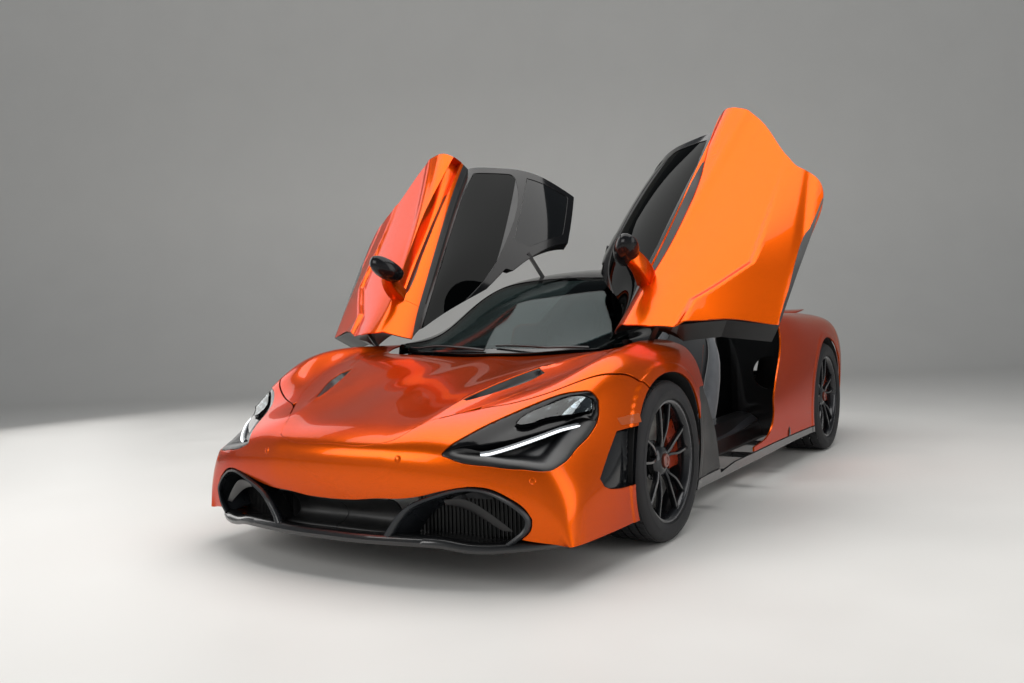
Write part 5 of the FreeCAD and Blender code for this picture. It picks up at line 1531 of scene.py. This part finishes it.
def nose_pieces(skin):
    """Splitter, intake rings and recesses, slats and sensors under the painted lip."""
    black = satin_plastic("intake_satin_black", "0a0a0b", "121314", 0.4)
    grey = satin_plastic("blade_satin_grey", "1b1d20", "25282c", 0.27)
    edge = [(0, -2266, 163), (150, -2264, 163), (318, -2250, 166), (430, -2230, 166),
            (490, -2214, 163), (560, -2190, 151), (640, -2160, 147), (710, -2122, 150),
            (780, -2060, 151), (845, -1975, 152)]
    rows = [[(x, y + 5, z - 15), (x, y, z - 8), (x, y + 5, z), (x, y + 42, z + 5), (x, y + 105, z - 4),
             (x * 0.97, min(y + 330, -1890), z - 12)] for x, y, z in edge]
    plate = sheet_shape(rows, 9, 26, 64, 2)
    crisp_piece("splitter_plate", plain_shape(pair(plate)), carbon("splitter_carbon"),
                "chassis", ["splitter"], "carbon", 60)
    ring = bend(INTAKE_RING, 6)
    count = len(ring)
    wide = np.interp(np.linspace(0, 1, count), [0, 0.12, 0.35, 0.6, 1], [34, 26, 17, 13, 16])
    loop = bar(ring, wide, 30, [0.25, 1, 0], 0.5)
    leg = []
    for x, y, z in INTAKE_RING[:6]:
        leg.append([(x, y + 6, z - 3), (x + 20, y + 50, z - 8), (x + 42, y + 120, z - 16)])
    roof = []
    for x, y, z in INTAKE_RING[5:]:
        inner = np.array([560 + (x - 560) * 0.86, y + 150, 230 + (z - 230) * 0.8])
        roof.append([(x, y + 6, z), ((x + inner[0]) / 2, y + 70, (z + inner[2]) / 2 + 4), tuple(inner)])
    cheeks = [sheet_shape(leg, 3, 12, 30), sheet_shape(roof, 3, 12, 40)]
    shapes = plain_shape(joined([loop] + [plain_shape(c) for c in cheeks]))
    crisp_piece("intake_rings", pair(shapes), grey, "chassis",
                ["front_intakes"], "black_gloss", 50)
    rows = []
    for x, y, lip in ((0, -2234, 286), (110, -2234, 290), (200, -2233, 300), (270, -2228, 300)):
        rows.append([(x, y, lip), (x * 0.98, y + 60, lip - 26), (x * 0.95, y + 92, 216),
                     (x * 0.95, y + 62, 188), (x * 0.98, y + 30, 181), (x, y + 22, 171),
                     (x, y + 40, 160)])
    recess = sheet_shape(rows, 4, 30, 30)
    side_rows = [[(x, y, 380), (x, y + 12, 250), (x, y + 8, 148)] for x, y in
                 ((300, -2105), (430, -2075), (560, -2035), (690, -1985), (800, -1925))]
    back = sheet_shape(side_rows, 4, 20, 20)
    walls = plain_shape(joined([recess, back]))
    crisp_piece("intake_recesses", pair(walls), black, angle=50)
    mesh_shapes = []
    for x in np.arange(330, 760, 14.0):
        y = np.interp(x, [300, 430, 560, 690, 800], [-2105, -2075, -2035, -1985, -1925]) - 14
        mesh_shapes.append(bar([(x, y, 150), (x, y + 4, 240), (x, y, 345)], 2.2, 9, [0, 1, 0.01], 0.2))
    slats = joined(mesh_shapes)
    crisp_piece("intake_slats", pair(slats), black, angle=40)
    dots = []
    for x, y, z in ((328, -2236, 452), (788, -2083, 376)):
        p, n = skin.nearest(x, y, z)
        dots.append(placed(lathe([(-2.0, 14), (0.4, 13), (1.0, 11), (0.2, 9.6), (0.6, 9), (0.8, 0.2)],
                                 ORIGIN, 32), p, facing_frame(n)))
    dots = joined(dots)
    crisp_piece("parking_sensors", pair(dots), built["paint"], angle=40)


SEAT_X = 370.0


def cabin_pieces():
    """Seats with their stitches, then the cockpit."""
    hide = leather("seat_leather_charcoal", "26282b", "303236")
    grey = suede("bolster_suede_grey", "5c5f63", "6c6f74")

    def seat_half(sign):
        cx = sign * SEAT_X
        parts = []
        for side in (-1, 1):
            edge = cx + side * 172
            line = [(edge, -235, 255), (edge + side * 14, -60, 262), (edge + side * 14, 140, 268),
                    (edge + side * 12, 262, 360), (edge + side * 16, 335, 520),
                    (edge + side * 6, 400, 690), (edge - side * 40, 455, 800)]
            size = np.interp(np.linspace(0, 1, 49), [0, 0.15, 0.45, 0.7, 1], [52, 88, 104, 96, 44])
            depth = np.interp(np.linspace(0, 1, 49), [0, 0.15, 0.45, 0.7, 1], [70, 120, 150, 120, 60])
            parts.append(bar(bend(line), size * 0.8, depth, [0, -0.6, 0.8], 0.6))
        return joined(parts)

    def cushion(sign, rows, thick, across=24, lengthwise=30):
        cx = sign * SEAT_X
        net = [[(cx + x, y, z) for x, y, z in row] for row in rows]
        return plain_shape(sheet_shape(net, thick, across, lengthwise, 14))

    base_rows = [[(x, -262 + abs(x) * 0.05, 288 - abs(x) * 0.06) for x in (-140, -70, 0, 70, 140)],
                 [(x, -150, 292 - 8 * math.cos(x / 60)) for x in (-145, -70, 0, 70, 145)],
                 [(x, 20, 276 - 10 * math.cos(x / 60)) for x in (-145, -70, 0, 70, 145)],
                 [(x, 190, 262 - 6 * math.cos(x / 60)) for x in (-140, -70, 0, 70, 140)]]
    back_rows = [[(x, 196, 272) for x in (-135, -70, 0, 70, 135)],
                 [(x, 262 + 6 * math.cos(x / 60), 380) for x in (-138, -70, 0, 70, 138)],
                 [(x, 345 + 10 * math.cos(x / 60), 560) for x in (-142, -70, 0, 70, 142)],
                 [(x, 428 + 8 * math.cos(x / 60), 740) for x in (-135, -70, 0, 70, 135)],
                 [(x, 480, 850) for x in (-110, -60, 0, 60, 110)],
                 [(x, 525, 985) for x in (-88, -50, 0, 50, 88)],
                 [(x, 545, 1008) for x in (-70, -40, 0, 40, 70)]]
    for hand, sign in (("left", 1), ("right", -1)):
        stands = ["seats"] if sign > 0 else ()
        base = crisp_piece("seat_base_" + hand, cushion(sign, base_rows, 46), hide, "chassis",
                           stands, "leather", 60)
        back = crisp_piece("seat_back_" + hand, cushion(sign, back_rows, 60),
                           hide, "chassis", (), "leather", 60)
        sides = crisp_piece("seat_bolsters_" + hand, seat_half(sign), grey, "chassis", (), "leather", 60)
        shell_rows = [[(x * 1.25, y + 62, z - 4) for x, y, z in row] for row in back_rows]
        crisp_piece("seat_shell_" + hand, cushion(sign, shell_rows, 14), carbon("seat_shell_carbon"),
                    angle=60)
        plinth = brick(sign * SEAT_X - 150, sign * SEAT_X + 150, -230, 210, 142, 236, 14)
        crisp_piece("seat_plinth_" + hand, plinth, satin_plastic("seat_plinth_black"), angle=40)
        seam = [(sign * SEAT_X + x, y - 4, z + 4) for x, y, z in
                [(-120, 268, 392), (-122, 345, 556), (-112, 424, 730)]]
        other = [(sign * SEAT_X + x, y - 4, z + 4) for x, y, z in
                 [(120, 268, 392), (122, 345, 556), (112, 424, 730)]]
        stitches = []
        for line in (bend(seam, 24), bend(other, 24)):
            stitches += [tube([a, a + (b - a) * 0.55], 1.1, 6) for a, b in zip(line, line[1:])]
        crisp_piece("seat_stitches_" + hand, joined(stitches),
                    satin_plastic("thread_orange", "b04410", "c0501a", 0.7))
    cockpit()


def cockpit():
    """Dashboard with binnacle and centre screen, steering wheel with column, tunnel and sills."""
    dash_rows = []
    for x in (-515, -380, -200, 0, 200, 380, 515):
        lift = 26 * math.exp(-((x - SEAT_X) / 130) ** 2)
        dash_rows.append([(x, -922, 742), (x, -800, 768 + lift * 0.4), (x, -690, 778 + lift),
                          (x, -600, 752 + lift), (x, -556, 700 + lift * 0.5), (x, -560, 620),
                          (x, -600, 562)])
    top = plain_shape(sheet_shape(dash_rows, 8, 40, 60, 3))
    crisp_piece("dashboard_shell", oriented(top), suede("dash_suede_black", "131315", "1b1b1e"), "chassis",
                ["dashboard"], "dash", 50)
    screen = slab([(-55, 600), (55, 600), (55, 745), (-55, 745)], "y", -556, -544, 3)
    crisp_piece("centre_screen", screen, gloss_black("screen_gloss_black", "050608"))
    hub = np.array([SEAT_X, -440.0, 708.0])
    tilt = math.radians(16)
    turn = np.array([[1, 0, 0], [0, math.cos(tilt), -math.sin(tilt)], [0, math.sin(tilt), math.cos(tilt)]])
    angle = np.linspace(0, 2 * math.pi, 65)[:-1]
    ring = np.stack([168 * np.cos(angle), 0 * angle, 160 * np.sin(angle)], 1)
    ring[:, 2] = np.maximum(ring[:, 2], -138)
    loop = np.concatenate([ring, ring[:2]]) @ turn.T + hub
    crisp_piece("steering_rim", tube(loop, 15, 16, cap=False), leather("wheel_leather", "111113", "19191b"),
                "chassis", ["steering_wheel"], "wheel_rim", 60)
    spokes = []
    for a, b in (((-150, 0, 8), (-40, -6, 0)), ((150, 0, 8), (40, -6, 0)), ((0, 0, -132), (0, -6, -40))):
        points = (np.array([a, (np.array(a) + b) / 2, b]) @ turn.T) + hub
        spokes.append(bar(bend(points, 4), 30, 12, turn @ [0, 1, 0], 0.4))
    pad = lathe([(-24, 0.2), (-24, 44), (-10, 52), (6, 46), (14, 30), (16, 0.2)], ORIGIN, 48, "y")
    spokes.append({**pad, "p": pad["p"] @ turn.T + hub})
    column = tube([hub + turn @ [0, -20, 0], hub + turn @ [0, -110, -4], hub + turn @ [0, -175, -10]],
                  [34, 32, 34], 24)
    spokes.append(column)
    crisp_piece("steering_spokes", joined(spokes), satin_plastic("wheel_satin_grey", "222427", "2c2e32"))
    tunnel = slab([(-100, 420), (100, 420), (118, 400), (118, 142), (-118, 142), (-118, 400)], "y",
                  -920, 596, 6)
    crisp_piece("tunnel_trim", tunnel, leather("tunnel_leather", "141416", "1c1c1f"), angle=40)
    steps = []
    for sign in (-1, 1):
        sill = bar(bend([(sign * 752, -700, 268), (sign * 750, -300, 270), (sign * 748, 100, 276),
                         (sign * 742, 520, 300)]), 44, 12, [sign * 0.6, 0, 0.8], 0.4)
        steps.append(sill)
    crisp_piece("sill_steps", joined(steps),
                satin_plastic("sill_satin_grey", "1e2023", "27292d", 0.36), angle=40)


def rear_details():
    """Wing blade, tail lamp strips and exhaust tips."""
    wing = slab([(1945, 886), (1962, 896), (2120, 909), (2250, 918), (2268, 916), (2268, 912),
                 (2120, 897), (1960, 882), (1946, 880)], "x", -598, 598, 2)
    crisp_piece("rear_wing_blade", wing, built["paint"], "rear_wing", ["rear_wing"], "paint", 30)
    lamp = bar(bend([(420, 2120, 703), (560, 2103, 703), (700, 2078, 703), (800, 2048, 703),
                     (838, 2030, 703)]), 8, 12, [0, 0.2, 1], 0.4)
    crisp_piece("tail_lamp_strips", pair(lamp), red_lens(), "chassis",
                ["tail_lamps"], "tail_lamp", 40)
    tips = joined([closed_lathe([(1742, 52), (1742, 56), (2142, 56), (2150, 60), (2156, 58), (2150, 51)],
                                (s * 150, 0, 640), 64, "y") for s in (-1, 1)])
    crisp_piece("exhaust_tips", tips, lacquered_metal("exhaust_steel_blued", "5b5a5c", "6e6a66", 0.3),
                "chassis", ["exhausts"], "exhaust_steel", 40)


def finish_cad():
    """Finishes for the CAD pieces that show as they are."""
    black = satin_plastic()
    frame_metal = cast_metal("frame_alloy_cast", "3b3c3e", "4a4b4d")
    finishes = {
        "arch_liners": satin_plastic("arch_liner_felt", "0b0b0c", "151516", 0.8),
        "caliper_front_left": lacquered_metal("caliper_orange_enamel", "a8320c", "b83c12"),
        "front_frame": frame_metal, "rear_frame": frame_metal,
        "front_wishbones": frame_metal, "rear_wishbones": frame_metal,
        "knuckle_left": frame_metal, "knuckle_right": frame_metal, "rear_uprights": frame_metal,
        "tub": carbon("tub_carbon_twill"), "engine": cast_metal("engine_block_cast", "46474a", "5a5b5e"),
        "door_left": black, "door_right": black,
    }
    finishes["caliper_front_right"] = finishes["caliper_front_left"]
    finishes["rear_calipers"] = finishes["caliper_front_left"]
    for name in frame["nodes"]:
        dress(name, finishes.get(name, black))


def dress(name, finish):
    cad = frame["nodes"][name]
    for index in range(len(cad.material_slots)):
        cad.material_slots[index].material = finish


def studio(look):
    """Pale floor and sweep, soft boxes overhead and beside the car, and the camera."""
    bm = bmesh.new()
    profile = [(-9.0, 0.0), (7.0, 0.0)]
    for i in range(1, 17):
        angle = math.pi / 2 * i / 16
        profile.append((7.0 + 3.0 * math.sin(angle), 3.0 - 3.0 * math.cos(angle)))
    profile.append((10.0, 9.0))
    c, s = math.cos(math.radians(32.1)), math.sin(math.radians(32.1))
    rows = [[bm.verts.new((x * c - y * s, x * s + y * c, z)) for x in (-22.0, 22.0)]
            for y, z in profile]
    for a, b in zip(rows, rows[1:]):
        bm.faces.new((a[0], a[1], b[1], b[0]))
    mesh = bpy.data.meshes.new("studio_sweep")
    bm.to_mesh(mesh)
    bm.free()
    mesh.shade_smooth()
    mesh.materials.append(studio_floor())
    floor = bpy.data.objects.new("studio_sweep", mesh)
    bpy.context.scene.collection.objects.link(floor)
    floor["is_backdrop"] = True
    lamps = [("overhead", (0.0, -0.5, 4.6), (0.0, -0.3, 0.0), (6.5, 4.5), 270.0),
             ("front_box", (-2.2, -6.5, 3.2), (0.0, -0.8, 0.6), (4.0, 2.5), 120.0),
             ("left_box", (6.0, -1.5, 2.6), (0.5, -0.3, 0.7), (3.0, 5.0), 95.0),
             ("right_box", (-6.0, 0.0, 3.0), (-0.5, 0.0, 0.8), (3.0, 5.0), 80.0)]
    for name, place, target, size, power in lamps:
        light = bpy.data.lights.new("soft_" + name, "AREA")
        light.shape = "RECTANGLE"
        light.size, light.size_y = size
        light.energy = power * look.light_level
        light.color = (1.0, 0.985, 0.965)
        piece = bpy.data.objects.new("soft_" + name, light)
        way = Vector(target) - Vector(place)
        piece.matrix_world = Matrix.Translation(place) @ way.to_track_quat("-Z", "Y").to_matrix().to_4x4()
        bpy.context.scene.collection.objects.link(piece)
    world = bpy.data.worlds.new("studio_air")
    world.use_nodes = True
    tree = world.node_tree
    tree.nodes.clear()
    split = node(tree, "ShaderNodeSeparateXYZ",
                 {"Vector": node(tree, "ShaderNodeTexCoord").outputs["Generated"]})
    level = node(tree, "ShaderNodeMapRange", {"Value": split.outputs["Z"], "From Min": -0.1,
                                              "From Max": 0.7}).outputs["Result"]
    air = node(tree, "ShaderNodeBackground", {"Color": tint(tree, level, "dcdddd", "6c7074"),
                                              "Strength": 0.72 * look.light_level})
    node(tree, "ShaderNodeOutputWorld", {"Surface": air.outputs[0]})
    bpy.context.scene.world = world
    camera = bpy.data.cameras.new("photo_camera")
    camera.sensor_width = 36.0
    camera.lens = look.lens
    camera.clip_end = 60.0
    eye = bpy.data.objects.new("photo_camera", camera)
    yaw, pitch, roll = (math.radians(a) for a in (-32.109, -1.402, -2.177))
    ahead_of = Vector((math.sin(yaw) * math.cos(pitch), math.cos(yaw) * math.cos(pitch),
                       math.sin(pitch)))
    right = ahead_of.cross(Vector((0, 0, 1))).normalized()
    up = right.cross(ahead_of)
    side = right * math.cos(roll) + up * math.sin(roll)
    over = up * math.cos(roll) - right * math.sin(roll)
    turn = Matrix((side, over, -ahead_of)).transposed().to_4x4()
    eye.matrix_world = Matrix.Translation((2.375, -4.713, 0.926)) @ turn
    bpy.context.scene.collection.objects.link(eye)
    bpy.context.scene.camera = eye
    bpy.context.scene.view_settings.view_transform = "Standard"


class SupercarLooks(bpy.types.PropertyGroup):
    """Settings of the looks. Sizes are in mm unless a unit is shown."""
    mesh_step: FloatProperty(name="Skin Step", description="Spacing of the skin's samples in mm",
                             default=5.5, min=4.0, max=20.0)
    panel_thickness: FloatProperty(name="Panel Thickness", description="Thickness of a painted panel in mm",
                                   default=9.0, min=1.0, max=10.0)
    panel_roll: FloatProperty(name="Edge Radius", description="Radius of a panel's rolled edge in mm",
                              default=1.8, min=0.2, max=4.0)
    spoke_pairs: IntProperty(name="Forked Spokes", description="Forked spokes in a wheel",
                             default=5, min=3, max=12)
    tread_pitches: IntProperty(name="Tread Pitches", description="Tread blocks round a tyre",
                               default=64, min=24, max=90)
    tread_depth: FloatProperty(name="Tread Depth", description="Depth of the tyre grooves in mm",
                               default=6.5, min=2.0, max=9.0)
    light_level: FloatProperty(name="Light Level", description="Factor on every lamp of the studio",
                               default=1.0, min=0.1, max=4.0, subtype="FACTOR")
    lens: FloatProperty(name="Lens", description="Focal length of the camera", default=32.0,
                        min=18.0, max=120.0, unit="CAMERA")


class PaintOperator(bpy.types.Operator):
    """Add the painted panels of the body"""
    bl_idname = "supercar.paint_panels"
    bl_label = "Paint Panels"

    def execute(self, context):
        built["skin"], built["paint"] = paint_panels(context.scene.supercar_looks)
        return {"FINISHED"}


class GlasshouseOperator(bpy.types.Operator):
    """Add the fixed glass and its frame"""
    bl_idname = "supercar.glasshouse"
    bl_label = "Glasshouse"

    def execute(self, context):
        built["house"] = glasshouse()
        return {"FINISHED"}


class DoorsOperator(bpy.types.Operator):
    """Add the skins, channel, frame and glass of both doors"""
    bl_idname = "supercar.doors"
    bl_label = "Doors"

    def execute(self, context):
        door_pieces(context.scene.supercar_looks, built["house"], built["paint"])
        return {"FINISHED"}


class WheelsOperator(bpy.types.Operator):
    """Add tyres, rims and brake discs"""
    bl_idname = "supercar.wheels"
    bl_label = "Wheels"

    def execute(self, context):
        wheel_pieces(context.scene.supercar_looks)
        return {"FINISHED"}


class FrontOperator(bpy.types.Operator):
    """Add headlamps, vents, intakes and splitter"""
    bl_idname = "supercar.front_details"
    bl_label = "Front Details"

    def execute(self, context):
        front_details()
        return {"FINISHED"}


class CabinOperator(bpy.types.Operator):
    """Add seats, dashboard, steering wheel and sills"""
    bl_idname = "supercar.cabin"
    bl_label = "Cabin"

    def execute(self, context):
        cabin_pieces()
        return {"FINISHED"}


class RearOperator(bpy.types.Operator):
    """Add the rear wing, lamps and exhaust tips"""
    bl_idname = "supercar.rear_details"
    bl_label = "Rear Details"

    def execute(self, context):
        rear_details()
        return {"FINISHED"}


class FinishesOperator(bpy.types.Operator):
    """Give the CAD pieces that stay in view their finishes"""
    bl_idname = "supercar.cad_finishes"
    bl_label = "Other Finishes"

    def execute(self, context):
        finish_cad()
        return {"FINISHED"}


class StageOperator(bpy.types.Operator):
    """Add the studio: sweep, lights and camera"""
    bl_idname = "supercar.stage"
    bl_label = "Studio"

    def execute(self, context):
        studio(context.scene.supercar_looks)
        return {"FINISHED"}


class SupercarPanel(bpy.types.Panel):
    """Settings and steps of the supercar's looks"""
    bl_idname = "VIEW3D_PT_supercar"
    bl_label = "Supercar"
    bl_space_type = "VIEW_3D"
    bl_region_type = "UI"
    bl_category = "Supercar"

    def draw(self, context):
        look = context.scene.supercar_looks
        for key in SupercarLooks.__annotations__:
            self.layout.prop(look, key)
        for step in STEPS:
            self.layout.operator(step.bl_idname)


STEPS = (PaintOperator, GlasshouseOperator, DoorsOperator, WheelsOperator, FrontOperator,
         CabinOperator, RearOperator, FinishesOperator, StageOperator)
CLASSES = (SupercarLooks,) + STEPS + (SupercarPanel,)
built = {}


def register():
    for cls in CLASSES:
        bpy.utils.register_class(cls)
    bpy.types.Scene.supercar_looks = PointerProperty(type=SupercarLooks)


def unregister():
    del bpy.types.Scene.supercar_looks
    for cls in reversed(CLASSES):
        bpy.utils.unregister_class(cls)


def main():
    register()
    for step in STEPS:
        group, name = step.bl_idname.split(".")
        if getattr(getattr(bpy.ops, group), name)() != {"FINISHED"}:
            raise RuntimeError(f"{step.bl_label} did not finish")
    {"cad": plain(cad_bounds), "visual": plain(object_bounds())}


def plain(box):
    """Bounds as plain lists."""
    if isinstance(box, dict):
        return {key: plain(value) for key, value in box.items()}
    return [plain(value) for value in box] if hasattr(box, "__len__") else float(box)


if __name__ == "__main__":
    main()
